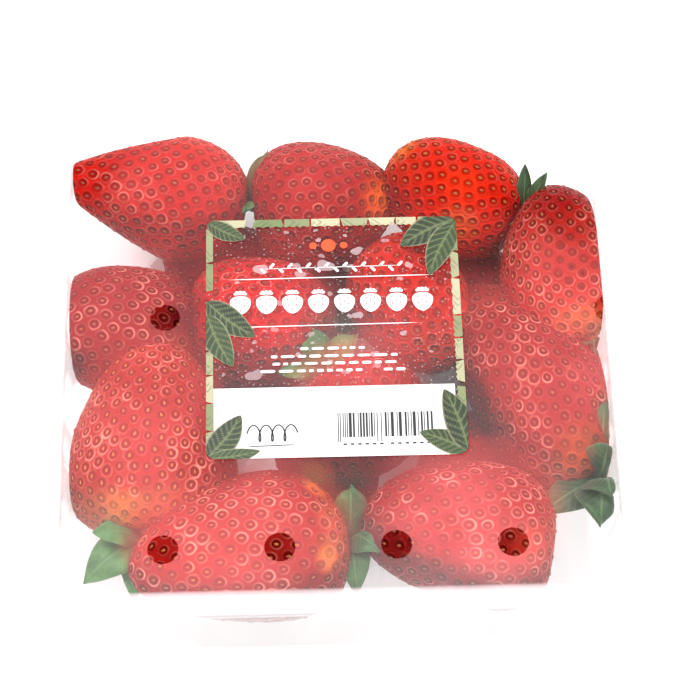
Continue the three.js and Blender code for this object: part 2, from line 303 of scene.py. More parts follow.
def addStudio(s):
    world = bpy.data.worlds.new("studio")
    world.use_nodes = True
    background = world.node_tree.nodes["Background"]
    background.inputs["Color"].default_value = (*s["skyColour"], 1)
    background.inputs["Strength"].default_value = s["sky"]
    bpy.context.scene.world = world
    bpy.context.scene.view_settings.view_transform = "Standard"
    addLight("key", s["key"])
    addLight("fill", s["fill"])
    half = s["floorSize"] / 2 / mm
    corners = np.array([[-half, -half, 0], [half, -half, 0], [half, half, 0], [-half, half, 0]])
    paint = Paint("floor")
    cloudy = paint.noise(2.0)
    tone = paint.mix(cloudy, s["floorColour"], tuple(0.985 * c for c in s["floorColour"]))
    # Painted shade: the floor's glow is off in a square under the pack and fades up round it
    split = paint.node("SeparateXYZ", {}, {"Vector": paint.place()})
    across, back = split.out(0).size(), (split.out(1) - s["further"]).size()
    around = paint.step(across.upper(back), s["paintedShadeHalf"], s["lightHalf"])
    paintedGlow = paint.mix(around, (0, 0, 0), (1, 1, 1))
    surface = paint.principled({"Base Color": tone, "Roughness": 0.9,
                                "Emission Color": paintedGlow, "Emission Strength": s["floorLight"]})
    addPiece("floor", corners, quads=[[0, 1, 2, 3]], material=paint.finish(surface))


addStudio(studio)
print("floor and light")

# The tray: one closed shell. Its section runs from the floor's underside round the foot, up the
# outside, over the flange and down the inside to the floor's top.
tray = {
    "baseHalf": 70.5, "mouthHalf": 73.0, "mouthHeight": 46.0, "radius": 13.0,
    "sheet": 0.45,
    "flangeHalf": 79.95, "flangeRadius": 20.0, "flangeTop": 45.5,
    "lipBottom": 42.4, "lipRound": 0.7, "rimRound": 0.9, "mouthRound": 0.8,
    "footHeight": 1.5, "footShift": 0.2,
    "fluteCount": 6, "flutePitch": 18.0, "fluteWidth": 9.5, "fluteDepth": 1.5,
    "fluteStart": 4.0, "fluteEnd": 42.0, "fluteFade": 5.0,
    "panelHalf": 56.0, "panelTop": 2.8, "panelSlope": 1.2, "panelRound": 0.6, "panelFoot": 0.5,
    "slots": 8, "slotRing": 34.0, "slotLength": 12.0, "slotWidth": 3.0, "slotPoints": 20,
    "sidePoints": 96, "cornerPoints": 14,
    "wallRows": [(2.4, 12, 13), (14, 34, 5), (36, 43.6, 10)],  # from, to, count
}
plastic = {
    "tint": (0.93, 0.94, 0.95),
    "body": 0.012, "edge": 0.3, "land": 0.5,  # shares of body: everywhere, seen edge on, on the flange
    "roughness": 0.04,
}


def insideHalf(z):  # half width inside: grows straight from the base to the mouth
    return tray["baseHalf"] + (tray["mouthHalf"] - tray["baseHalf"]) * z / tray["mouthHeight"]


# Outline of a rounded square: straight sides, quarter circles, and on each side outward bumps
# (flutes), each one wave of a raised cosine made a little fuller. half, radius and depth may be
# columns.
def trayOutline(half, radius, depth, t=tray):
    straight = t["baseHalf"] - t["radius"]
    run = np.linspace(-1, 1, t["sidePoints"])[None] * straight
    x = run * (half - radius) / straight
    places = (np.arange(t["fluteCount"]) - (t["fluteCount"] - 1) / 2) * t["flutePitch"]
    off = np.abs(run[..., None] - places).min(-1) / (t["fluteWidth"] / 2)
    bump = np.where(off < 1, (0.5 + 0.5 * np.cos(pi * off)) ** 0.7, 0)
    side = np.stack(np.broadcast_arrays(x, -half - depth * bump), -1)
    angle = np.linspace(-pi / 2, 0, t["cornerPoints"] + 2)[None, 1:-1]
    corner = np.stack([half - radius + radius * np.cos(angle), radius - half + radius * np.sin(angle)], -1)
    return fourSides(np.concatenate([side, corner], 1))


# Rows of the section as (half width, height, corner radius, flute depth)
def traySection(t=tray):
    sheet, base = t["sheet"], t["baseHalf"]
    rows = []

    def wall(heights, grow):
        for z in heights:
            fade = smooth(z, t["fluteStart"], t["fluteStart"] + t["fluteFade"])
            fade = fade * (1 - smooth(z, t["fluteEnd"] - t["fluteFade"], t["fluteEnd"]))
            rows.append((insideHalf(z) + grow, z, t["radius"] + grow, t["fluteDepth"] * fade))

    def bend(halfCentre, zCentre, size, start, end, cornerRadius, steps):
        for a in np.radians(np.linspace(start, end, steps)):
            move = size * np.cos(a)
            rows.append((halfCentre + move, zCentre + size * np.sin(a), cornerRadius + move, 0))

    radius, under = t["radius"], t["flangeTop"] - sheet
    panel, top = t["panelHalf"], t["panelTop"]
    slope, edgeRound, low = t["panelSlope"], t["panelRound"], t["panelFoot"]
    mouth, flare, lip, rim = insideHalf(t["flangeTop"]), t["mouthRound"], t["lipRound"], t["rimRound"]
    edge, corner, lipBottom = t["flangeHalf"], t["flangeRadius"], t["lipBottom"]
    foot, footHalf = t["footHeight"], base - t["footHeight"] + t["footShift"]
    up = np.concatenate([np.linspace(*part) for part in t["wallRows"]])
    rows.append((panel - slope, top - sheet, radius - slope, 0))
    bend(panel - slope, top - sheet - edgeRound, edgeRound, 90, 0, radius - slope, 5)
    bend(panel, low, low, 180, 270, radius, 5)
    bend(footHalf, foot, foot, 270, 350, radius - foot, 8)
    wall(up, sheet)
    bend(mouth + sheet + flare, under - flare, -flare, 0, -90, radius + sheet + flare, 5)
    bend(edge - sheet - lip, under - lip, lip, 90, 0, corner - sheet - lip, 5)
    rows.append((edge - sheet, lipBottom + 0.1, corner - sheet, 0))
    bend(edge - sheet / 2, lipBottom + sheet / 2, sheet / 2, 180, 360, corner - sheet / 2, 5)
    bend(edge - rim, t["flangeTop"] - rim, rim, 0, 90, corner - rim, 6)
    bend(mouth + flare, t["flangeTop"] - flare, -flare, -90, 0, radius + flare, 5)
    wall(up[::-1], 0)
    bend(footHalf, foot + sheet, foot, 350, 270, radius - foot, 8)
    bend(panel + sheet, sheet + low, low, 270, 180, radius + sheet, 5)
    bend(panel - slope, top - edgeRound, edgeRound + sheet, 0, 90, radius - slope, 5)
    return np.array(rows)


# Outline of one slot: a straight run between two half circles, turned and moved to its place
def slotOutline(i, t=tray):
    a = np.linspace(0, 2 * pi, t["slotPoints"], endpoint=False)
    r = t["slotWidth"] / 2
    reach = np.sign(np.cos(a)) * (t["slotLength"] / 2 - r)
    turn = (i + 0.5) * 2 * pi / t["slots"]
    x, y = reach + r * np.cos(a) + t["slotRing"], r * np.sin(a)
    return np.stack([x * np.cos(turn) - y * np.sin(turn), x * np.sin(turn) + y * np.cos(turn)], -1)


# Triangles that fill the first loop but not the others, its holes, through the extra points too
def fillOutline(loops, extra=()):
    points = np.concatenate([*loops, *extra])
    edges, start = [], 0
    for loop in loops:
        ids = np.arange(len(loop)) + start
        edges += np.stack([ids, np.roll(ids, -1)], -1).tolist()
        start += len(loop)
    made = delaunay_2d_cdt([Vector(p) for p in points.tolist()], edges, [], 0, 1e-6, True)
    flat = np.array([v[:] for v in made[0]])
    tris = np.array(made[2])
    middle = flat[tris].mean(1)
    keep = insideLoop(middle, loops[0])
    for hole in loops[1:]:
        keep &= ~insideLoop(middle, hole)
    source = np.array([ids[0] if ids else -1 for ids in made[3]])
    return points, source[tris[keep]]


def insideLoop(points, loop):  # even number of crossings to the right is outside
    a, b = loop[None], np.roll(loop, -1, 0)[None]
    px, py = points[:, None, 0], points[:, None, 1]
    spans = (a[..., 1] > py) != (b[..., 1] > py)
    slope = np.where(spans, b[..., 1] - a[..., 1], 1)
    cross = a[..., 0] + (py - a[..., 1]) * (b[..., 0] - a[..., 0]) / slope
    return (spans & (px < cross)).sum(1) % 2 == 1


# Clear plastic: mostly see-through, shiny, denser where the sheet is seen edge on, and milky on
# the flange's top, where the film is sealed to it
def clearPlastic(p):
    paint = Paint("clearTray")
    scuff = paint.noise(90.0, 3.0)
    solid = paint.principled({"Base Color": (*p["tint"], 1), "Roughness": 0.25})
    amount = paint.facing() ** 4.0 * p["edge"] + paint.attribute("land") * p["land"] + p["body"]
    return paint.sheet(amount, solid, 0.03, 0.55, scuff * 0.04 + p["roughness"])


def makeTray(t=tray):
    rows = traySection(t)
    half, height, radius, depth = (rows[:, k:k + 1] for k in range(4))
    ring = trayOutline(half, radius, depth)
    points = np.concatenate([ring, np.broadcast_to(height[..., None], ring.shape[:2] + (1,))], -1)
    count = ring.shape[1]
    quads = gridQuads(len(rows), count, closed=True)
    slots = [slotOutline(i) for i in range(t["slots"])]
    parts, tris, start = [points.reshape(-1, 3)], [], len(rows) * count
    slotStarts = []
    for row, z, flip in ((0, t["panelTop"] - t["sheet"], True), (len(rows) - 1, t["panelTop"], False)):
        flat, fill = fillOutline([ring[row]] + slots)
        fresh = np.column_stack([flat[count:], np.full(len(flat) - count, z)])
        fill = np.where(fill < count, fill + row * count, fill - count + start)
        tris.append(fill[:, ::-1] if flip else fill)
        slotStarts.append(start)
        parts.append(fresh)
        start += len(fresh)
    each = len(slots[0])
    for i in range(t["slots"]):
        low = slotStarts[0] + i * each + np.arange(each)
        high = slotStarts[1] + i * each + np.arange(each)
        quads = np.concatenate([quads, np.stack([low, high, np.roll(high, -1), np.roll(low, -1)], -1)])
    points = np.concatenate(parts)
    onTop = (points[:, 2] > t["flangeTop"] - 0.5) & (np.abs(points[:, :2]).max(1) > t["mouthHalf"] + 0.7)
    addPiece("tray-shell", points, quads, np.concatenate(tris), {"land": onTop},
             clearPlastic(plastic), "clear_tray", "tray")


makeTray()
print("tray made")

# The berries. Each runs from the middle of its leaves to its tip. wide and deep are half sizes,
# shoulder is where it is widest, cone and blunt shape the taper, bend moves its middle sideways,
# and lump turns its uneven oval. Colours are as on a screen, before the mist. spacing is between
# seeds, and shine is how strong the pale rings, a painted highlight, are. spots: place, radius,
# colour, strength; most are the berry's own colour, and the ones marked are painted shade or
# painted light.
berries = {
    "b1": {
        "leaves": (-23.5, 54.4, 24), "tip": (-80, 57, 40), "wide": 17.7, "deep": 17,
        "shoulder": 0.36, "cone": 1.12, "blunt": 0.82, "bend": -1, "lump": 0.3,
        "body": (178, 20, 13), "end": (190, 18, 8), "neck": (173, 27, 22),
        "spacing": 4.0, "shine": 0.45,
        "spots": [((-70.7, 55.9, 40), 12, (196, 16, 5), 1.0),
                  ((-37, 68, 36), 14, (201, 43, 29), 0.7),
                  # painted light: lifts the shaded low front of the berry
                  ((-45, 42, 26), 15, (240, 36, 34), 0.8)],
    },
    "b2": {
        "leaves": (-24.2, 53.8, 25), "tip": (19.3, 56.4, 28), "wide": 19.8, "deep": 17.5,
        "shoulder": 0.4, "cone": 1.8, "blunt": 0.6, "bend": 2, "lump": 1.3,
        "body": (151, 18, 15), "end": (172, 30, 18), "neck": (147, 18, 18),
        "spacing": 4.1, "shine": 0.5,
        "spots": [((16, 48, 36), 10, (250, 104, 36), 0.95)],
    },
    "b3": {
        "leaves": (54.1, 44.6, 28), "tip": (15.8, 62.6, 31), "wide": 15.8, "deep": 16,
        "shoulder": 0.42, "cone": 2.6, "blunt": 0.44, "bend": 0, "lump": 2.1,
        "body": (218, 30, 3), "end": (205, 40, 10), "neck": (172, 9, 2),
        "spacing": 3.9, "shine": 0.3,
        "spots": [((20.3, 64.4, 38), 8, (234, 108, 30), 0.9),
                  ((34.2, 38.2, 38), 9, (228, 84, 30), 0.85),
                  ((35.9, 49.2, 44), 9, (236, 46, 5), 0.9),
                  # painted shade on the lower left side, next to the gap
                  ((17, 50, 34), 12, (141, 16, 18), 0.75)],
    },
    "b4": {
        "leaves": (71.5, 2, 32), "tip": (61.5, 53, 34), "wide": 18.8, "deep": 17,
        "shoulder": 0.34, "cone": 1.9, "blunt": 0.54, "bend": -2, "lump": 0.9,
        "body": (170, 30, 22), "end": (154, 6, 5), "neck": (202, 76, 44),
        "spacing": 4.0, "shine": 0.8,
        "spots": [((65.3, 3.4, 38), 11, (215, 103, 55), 0.8),
                  ((64, 45, 38), 14, (150, 3, 3), 1.0)],
    },
    "b5": {
        "leaves": (-36, 13, 18), "tip": (-80, 14.5, 33), "wide": 19.4, "deep": 18,
        "shoulder": 0.42, "cone": 2.4, "blunt": 0.5, "bend": 0, "lump": 3,
        "body": (115, 9, 10), "end": (114, 12, 14), "neck": (70, 10, 16),
        "spacing": 4.2, "shine": 0.75,
        # painted shade on the right end
        "spots": [((-40, 11, 36), 9, (66, 8, 14), 0.7)],
    },
    "b6": {
        "leaves": (-52, -48.9, 23), "tip": (-49, 8.3, 33), "wide": 23.5, "deep": 21,
        "shoulder": 0.32, "cone": 1.42, "blunt": 0.56, "bend": 0, "lump": 0.2,
        "body": (141, 17, 11), "end": (151, 26, 14), "neck": (196, 84, 44),
        "spacing": 3.9, "shine": 0.95,
        # the first spot is painted shade on the side that faces the next berry
        "spots": [((-33, -34, 32), 11, (72, 12, 14), 0.85),
                  ((-57, -47, 37), 9, (240, 112, 34), 0.9),
                  ((-60, -54, 35), 10, (240, 156, 60), 0.95),
                  ((-50, -50, 37), 8, (196, 84, 40), 0.7),
                  ((-56, -51, 35), 2.6, (119, 62, 36), 0.9),
                  ((-52, 0, 42), 10, (170, 28, 15), 0.6)],
    },
    "b7": {
        "leaves": (2.5, -49.5, 23), "tip": (-56, -61, 31), "wide": 20, "deep": 19.5,
        "shoulder": 0.34, "cone": 1.8, "blunt": 0.55, "bend": 2.5, "lump": 1.9,
        "body": (128, 12, 8), "end": (150, 16, 10), "neck": (164, 53, 24),
        "spacing": 4.3, "shine": 1.3,
        "spots": [((-7, -41.4, 38), 5, (224, 120, 40), 0.9),
                  ((-3.4, -51, 40), 5, (170, 66, 30), 0.7),
                  ((-3, -61.5, 38), 5, (228, 124, 44), 0.9)],
    },
    "b8": {
        "leaves": (58, -55, 24), "tip": (5, -46, 28), "wide": 19.6, "deep": 19,
        "shoulder": 0.34, "cone": 2.1, "blunt": 0.52, "bend": 2, "lump": 2.6,
        "body": (119, 10, 9), "end": (120, 13, 13), "neck": (150, 36, 22),
        "spacing": 4.2, "shine": 1.3,
        "spots": [((48.8, -59.4, 40), 8, (165, 41, 25), 0.7)],
    },
    "b9": {
        "leaves": (71.3, -36, 26), "tip": (35.7, 25.1, 27), "wide": 20.4, "deep": 18,
        "shoulder": 0.34, "cone": 1.9, "blunt": 0.58, "bend": 1, "lump": 4,
        "body": (125, 14, 12), "end": (122, 14, 13), "neck": (173, 73, 31),
        "spacing": 4.0, "shine": 1.0,
        "spots": [((62, -40, 37), 10, (226, 74, 34), 0.85),
                  ((38, 12, 38), 10, (134, 26, 13), 0.6)],
    },
    "b10": {
        "leaves": (-42, 13.5, 26), "tip": (1, 17.5, 25), "wide": 20.3, "deep": 18,
        "shoulder": 0.42, "cone": 2.2, "blunt": 0.52, "bend": 0, "lump": 5,
        "body": (194, 21, 22), "end": (156, 15, 18), "neck": (84, 9, 14),
        "spacing": 4.1, "shine": 0.5,
        "spots": [],
    },
    "b11": {
        "leaves": (12, 38.5, 25), "tip": (32.5, 1, 28), "wide": 16.5, "deep": 18,
        "shoulder": 0.4, "cone": 2.1, "blunt": 0.55, "bend": 0, "lump": 0.5,
        "body": (198, 30, 16), "end": (206, 40, 20), "neck": (170, 20, 16),
        "spacing": 4.0, "shine": 0.5,
        "spots": [],
    },
    "b12": {
        "leaves": (-3.5, -1, 25), "tip": (15.5, -27.5, 24), "wide": 20.5, "deep": 16,
        "shoulder": 0.4, "cone": 2.3, "blunt": 0.5, "bend": 0, "lump": 1.1,
        "body": (146, 18, 13), "end": (140, 16, 15), "neck": (178, 51, 29),
        "spacing": 4.1, "shine": 0.5,
        "spots": [],
    },
}
lowShape = {
    "wide": 12.5, "deep": 9.5,
    "shoulder": 0.42, "cone": 2, "blunt": 0.55, "bend": 0, "lump": 0,
    "body": (130, 14, 16), "end": (130, 14, 16), "neck": (140, 22, 20),
    "spacing": 4.0, "shine": 0.2,
    "spots": [],
}
lowPlaces = [((-13, -9, 13), (8, -34, 12)), ((52, 26, 12), (26, 44, 14)),
             ((-50, 40, 12), (-16, 46, 14)), ((46, -10, 12), (24, -36, 13)), ((-14, 30, 11), (13, 26, 12))]
for number, (leavesAt, tipAt) in enumerate(lowPlaces):
    berries[f"low{number + 1}"] = {**lowShape, "leaves": leavesAt, "tip": tipAt}

room = {  # inside the pack
    "floor": 3.1, "ceiling": 45.5, "wallGap": 0.2, "lid": 46.0,
    "vents": [(-46, -61), (-16, -61), (14, -61), (44, -61), (-46, 7), (74, 7)],
    "sight": (0.0, -0.45),  # how far the camera's line of sight moves for each unit of height
}
skin = {
    "around": 240, "along": 196,  # grid of a large berry
    "lowAround": 120, "lowAlong": 72,
    "topBias": 0.42,  # how much closer the grid lies on the upper side
    "bowl": 0.1, "bowlRadius": 1.5,  # the dimple round each seed
    "rim": 0.01, "rimAt": 1.6, "rimWidth": 0.3,  # its raised edge
    "ripple": 0.35,  # slow unevenness of the skin
    # as linear light: the painted highlight of the rings, the painted shade in the bowls, the dark blotches
    "glintRingColour": (1.0, 0.38, 0.29), "bowlShadeTint": (0.34, 0.22, 0.22), "blotch": (0.32, 0.008, 0.006),
}


# Keeps points inside the tray, a margin clear of walls, floor and film, with softened edges
def keepInside(p, margin=0.0, blend=0.5):
    z = softMin(p[..., 2], room["ceiling"] - margin, blend)
    z = -softMin(-z, -(room["floor"] + margin), blend)
    half = insideHalf(z) - room["wallGap"] - margin
    straight = half - tray["radius"]
    over = np.maximum(np.abs(p[..., :2]) - straight[..., None], 0)
    reach = np.maximum(np.linalg.norm(over, axis=-1), 1e-9)
    shrink = softMin(reach, tray["radius"], blend) / reach
    inner = np.minimum(np.abs(p[..., :2]), straight[..., None])
    shrink = np.where(reach > tray["radius"] - 4 * blend, shrink, 1)
    xy = np.sign(p[..., :2]) * (inner + over * shrink[..., None])
    return np.concatenate([xy, z[..., None]], -1)


# How wide a berry is along its length: a round shoulder, then a blunt cone
def berryWidth(along, b):
    s = b["shoulder"]
    back = np.clip((s - along) / s, 0, 1)
    ahead = np.clip((along - s) / (1 - s), 0, 1)
    return np.where(along < s, np.sqrt(1 - back ** 2.3), (1 - ahead ** b["cone"]) ** b["blunt"])


# A berry's bare surface: rings of an uneven oval round the line from its leaves to its tip
def berrySurface(b, along, around):
    start = np.array(b["leaves"], float)
    axis = np.array(b["tip"], float) - start
    length = np.linalg.norm(axis)
    axis = axis / length
    across = unit(np.cross(axis, [0, 0, 1]))
    rise = np.cross(across, axis)
    width = berryWidth(along, b)
    lump = 0.035 * np.sin(2 * around + b["lump"]) * np.sin(pi * along)
    lump = lump + 0.03 * np.sin(3 * around + 2.1 * b["lump"]) * (0.4 + 0.6 * along)
    radius = width * (1 + lump)
    dent = np.where(along < b["shoulder"], 3 * np.exp(-(width / 0.35) ** 2), 0)
    side = radius * b["wide"] * np.cos(around) + b["bend"] * np.sin(pi * along)
    up = radius * b["deep"] * np.sin(around)
    middle = start + (along * length + dent)[..., None] * axis
    return middle + side[..., None] * across + up[..., None] * rise


# Seeds spread evenly by area: each next one is a golden angle further round and one share along,
# and then neighbours push apart along the surface
def seedPlaces(b, spacing, random):
    along = (1 - np.cos(np.linspace(0, pi, 400))) / 2
    length = np.linalg.norm(np.subtract(b["tip"], b["leaves"]))
    r = berryWidth(along, b) * (b["wide"] + b["deep"]) / 2
    ring = 2 * pi * (r[1:] + r[:-1]) / 2 * np.hypot(np.diff(r), np.diff(along) * length)
    area = np.concatenate([[0], np.cumsum(ring)])
    count = int(area[-1] / (spacing ** 2 * 0.9))
    share = (np.arange(count) + 0.5) / count
    low, high = 0.012, 0.992  # no seeds closer to the ends
    seedAlong = np.interp(np.clip(share, low, high) * area[-1], area, along)
    seedAround = np.arange(count) * pi * (3 - 5 ** 0.5) + random.uniform(-0.12, 0.12, count)
    for _ in range(16):
        p = berrySurface(b, seedAlong, seedAround)
        alongWay = (berrySurface(b, seedAlong + 0.002, seedAround) - p) / 0.002
        aroundWay = (berrySurface(b, seedAlong, seedAround + 0.01) - p) / 0.01
        gap = p[:, None] - p[None]
        away = np.linalg.norm(gap, axis=-1) + np.eye(count) * 99
        push = np.maximum(1 - away / (1.3 * spacing), 0)
        force = (gap * (push / away)[..., None]).sum(1) * 0.4 * spacing
        seedAlong = seedAlong + (force * alongWay).sum(1) / (alongWay ** 2).sum(1)
        seedAround = seedAround + (force * aroundWay).sum(1) / np.maximum((aroundWay ** 2).sum(1), 4)
        seedAlong = np.clip(seedAlong, low, high)
    return seedAlong, np.mod(seedAround, 2 * pi)


# Each point's nearest seed, and its place between the two nearest: 0 at the first, 1 halfway
def nearestSeed(points, seeds):
    first, between = [], []
    for part in np.array_split(points.astype(np.float32), 12):
        away = (part ** 2).sum(1)[:, None] + (seeds ** 2).sum(1)[None] - 2 * part @ seeds.T
        two = np.sqrt(np.maximum(np.partition(away, 1, axis=1)[:, :2], 0))
        first.append(away.argmin(1))
        between.append(2 * two[:, 0] / two.sum(1))
    return np.concatenate(first), np.concatenate(between)


# Outward normals of a closed grid whose first and last rows are poles
def gridNormals(p):
    du = np.roll(p, -1, 1) - np.roll(p, 1, 1)
    dv = np.gradient(p, axis=0)
    n = unit(np.cross(dv, du))
    n[0], n[-1] = unit(n[1].mean(0)), unit(n[-2].mean(0))
    return n


def bowlDepth(along):  # none at the leaves
    return skin["bowl"] * smooth(along, 0.01, 0.09)


# Height of the skin over the bare surface: a bowl at each seed with a raised edge round it
def skinHeight(near, along):
    bowl = bowlDepth(along) * (1 - smooth(near, 0.25, skin["bowlRadius"]))
    rim = skin["rim"] * smooth(along, 0.01, 0.09)
    return rim * np.exp(-((near - skin["rimAt"]) / skin["rimWidth"]) ** 2) - bowl


# Slow unevenness: the mean of three sine waves through space, shorter ones lower, in directions
# that depend on the seed
def ripple(p, seed):
    random = np.random.default_rng(seed)
    total = 0
    for wave in (0.16, 0.24, 0.37):
        way = unit(random.normal(size=3)) * wave
        total = total + np.sin(p @ way + random.uniform(0, 6.3)) * 0.16 / wave
    return total / 3


seedShape = {
    "long": 0.6, "wide": 0.36, "thick": 0.2,  # half sizes
    "sides": 6, "rings": 3,
    "point": 1.15,  # how much further the pointed end reaches
    "rise": 0.1,  # middle of a seed above its bowl's bottom
    "young": ((196, 128, 48), (164, 96, 38)), "old": ((130, 68, 32), (98, 44, 24)),
}


# A seed: rings round its length, blunt at one end and drawn to a point at the other
def seedTemplate(s):
    rows = np.linspace(0, pi, s["rings"] + 2)[1:-1, None]
    turn = np.linspace(0, 2 * pi, s["sides"], endpoint=False)
    radius = np.sin(rows) * (1 - 0.25 * np.cos(rows + pi))
    oval = [radius * np.cos(turn) * s["wide"], radius * np.sin(turn) * s["thick"]]
    body = np.stack(np.broadcast_arrays(-np.cos(rows) * s["long"], *oval), -1)
    ends = np.array([[-s["long"], 0, 0], [s["long"] * s["point"], 0, 0]])
    return np.concatenate([ends[:1], body.reshape(-1, 3), ends[1:]])


# Skin: the berry's colour with darker blotches, a pale ring round the seeds that is a painted
# highlight, strong where its attribute says so, painted shade in the bowl of each ring, and a gloss
# that varies a little
def berrySkin():
    paint = Paint("berrySkin")
    tone = paint.attribute("tone", colour=True)
    near, paintedGlint = paint.attribute("near"), paint.attribute("paintedGlint")
    blotch = paint.noise(140.0, 3.0, 0.55)
    fine = paint.noise(900.0, 2.0)
    dark = paint.mix(paint.step(blotch, 0.45, 0.75) * 0.3, tone, skin["blotch"])
    patch = paint.step(paint.noise(70.0, 2.0), 0.4, 0.6) * 0.85 + 0.15
    ridge = paint.step(near, 1.05, 1.4) * (1 - paint.step(near, 1.42, 1.95))
    # Painted highlight: the pale ring round each seed
    pale = paint.mix((ridge * paintedGlint * patch * 1.3).lower(1.0) * 0.85, dark, skin["glintRingColour"])
    bowl = 1 - paint.step(near, 0.6, 1.4)
    # Painted shade in each seed's bowl, deeper where the glint is stronger
    colour = paint.mix(bowl * (paintedGlint.lower(1.0) * 0.45 + 0.5), pale, skin["bowlShadeTint"], "MULTIPLY")
    normal = paint.bump(ridge * 1.4 + fine * 0.3 + blotch * 0.8 - bowl * 2.6, 0.0003, 0.9)
    return paint.finish(paint.principled({
        "Base Color": colour, "Roughness": blotch * 0.1 + 0.32, "Normal": normal,
        "Subsurface Weight": 0.12, "Subsurface Radius": (1.0, 0.25, 0.15), "Subsurface Scale": 0.002,
        "Specular IOR Level": 0.04}))


def seedSkin():
    paint = Paint("seedSkin")
    grain = paint.noise(1500.0, 2.0)
    young, old = (paint.mix(grain, *linear(seedShape[key])) for key in ("young", "old"))
    colour = paint.mix(paint.attribute("ripe"), young, old)
    return paint.finish(paint.principled({"Base Color": colour, "Roughness": 0.45,
                                          "Normal": paint.bump(grain, 0.0001, 0.4)}))


# Colour over a berry: body to tip, a neck round the leaves, round spots in space, and painted shade
# low in the heap away from the walls
def berryTone(b, place, along, around, index):
    end = smooth(along, 0.55, 1.0)[..., None]
    neck = (1 - smooth(along + 0.03 * np.sin(5 * around + index), 0.02, 0.2))[..., None]
    tone = linear(b["body"]) * (1 - end) + linear(b["end"]) * end
    tone = tone * (1 - neck) + linear(b["neck"]) * neck
    for centre, radius, colour, strength in b["spots"]:
        away = np.linalg.norm(place - np.array(centre), axis=-1) + 0.12 * radius * ripple(place, 3)
        share = strength * (1 - smooth(away, 0.25 * radius, radius))[..., None]
        tone = tone * (1 - share) + linear(colour) * share
    # Painted shade: up to 0.4 darker low in the heap, away from the walls
    inside = smooth(tray["mouthHalf"] - np.abs(place[..., :2]).max(-1, keepdims=True), 3, 13)
    return tone * (1 - 0.4 * inside * (1 - smooth(place[..., 2:], 15, 32)))


# How far from a vent's middle the line of sight passes through the film
def ventGap(points):
    over = points[:, :2] + (room["lid"] - points[:, 2:]) * np.array(room["sight"])
    return np.linalg.norm(over[:, None] - np.array(room["vents"])[None], axis=-1).min(1)


heap = {"points": [], "paintedGlow": []}  # what lies under the film, and the colour it gives the film's painted glow
seedLooks = {"b6": 0.15, "b4": 0.55, "b3": 0.35, "b7": 0.6}  # 0 is yellow, 1 is brown
usualSeedLook = 0.85


def onePole(grid):  # values on a berry's grid as a list, with each end row as one point
    return np.concatenate([grid[:1, 0], grid[1:-1].reshape(-1, *grid.shape[2:]), grid[-1:, 0]])


# For each point of the skin: how far it is from its seed, measured in an oval and evened out
# between neighbours, and how strong the pale ring, a painted highlight, is there. These painted
# glints are brightest on one side, on the whole towards the leaves, and weak low down and near the
# vents.
def skinMarks(b, bare, seeds, toTip, random):
    bowls = random.uniform(0.88, 1.12, len(seeds))
    first, between = nearestSeed(bare.reshape(-1, 3), seeds.astype(np.float32))
    first, between = first.reshape(bare.shape[:2]), between.reshape(bare.shape[:2])
    away = bare - seeds[first]
    longWay = (away * toTip[first]).sum(-1)
    near = np.sqrt(np.maximum((away ** 2).sum(-1) - 0.25 * longWay ** 2, 0))
    near = (0.55 * near + 0.45 * between * b["spacing"] / 2) / bowls[first]
    # Painted glints: each seed's ring is brightest on the side that faces this direction
    glintWay = unit(np.subtract(b["leaves"], b["tip"])) + 1.1 * unit(random.normal(size=(len(seeds), 3)))
    shine = random.uniform(0.15, 1, len(seeds)) * b["shine"] * (0.5 + 0.5 * smooth(seeds[:, 2], 30, 42))
    shine = shine * (0.3 + 0.7 * smooth(ventGap(seeds), 4.0, 5.5))
    side = smooth((unit(away) * unit(glintWay)[first]).sum(-1), -0.6, 0.8)
    return near, (0.25 + 0.75 * side) * shine[first]


# Seeds in their bowls, long side towards the tip, each a little turned and of its own size
def seedsInBowls(b, seeds, seedAlong, seedAround, toTip, template, index, random):
    toSide = unit(berrySurface(b, seedAlong, seedAround + 0.01) - seeds)
    out = unit(np.cross(toTip, toSide))
    height = seedShape["rise"] - bowlDepth(seedAlong) - skin["ripple"] * ripple(seeds, 7 + index)
    middle = seeds + out * height[:, None]
    size = random.uniform(0.85, 1.12, len(seeds))[:, None, None]
    tilt = random.uniform(-0.35, 0.35, len(seeds))[:, None]
    forward = unit(toTip + tilt * toSide)
    shape = template[None] * size
    axes = np.stack([forward, unit(np.cross(out, forward)), out], 1)
    return keepInside(middle[:, None] + shape @ axes, 0.0, 0.3).reshape(-1, 3)


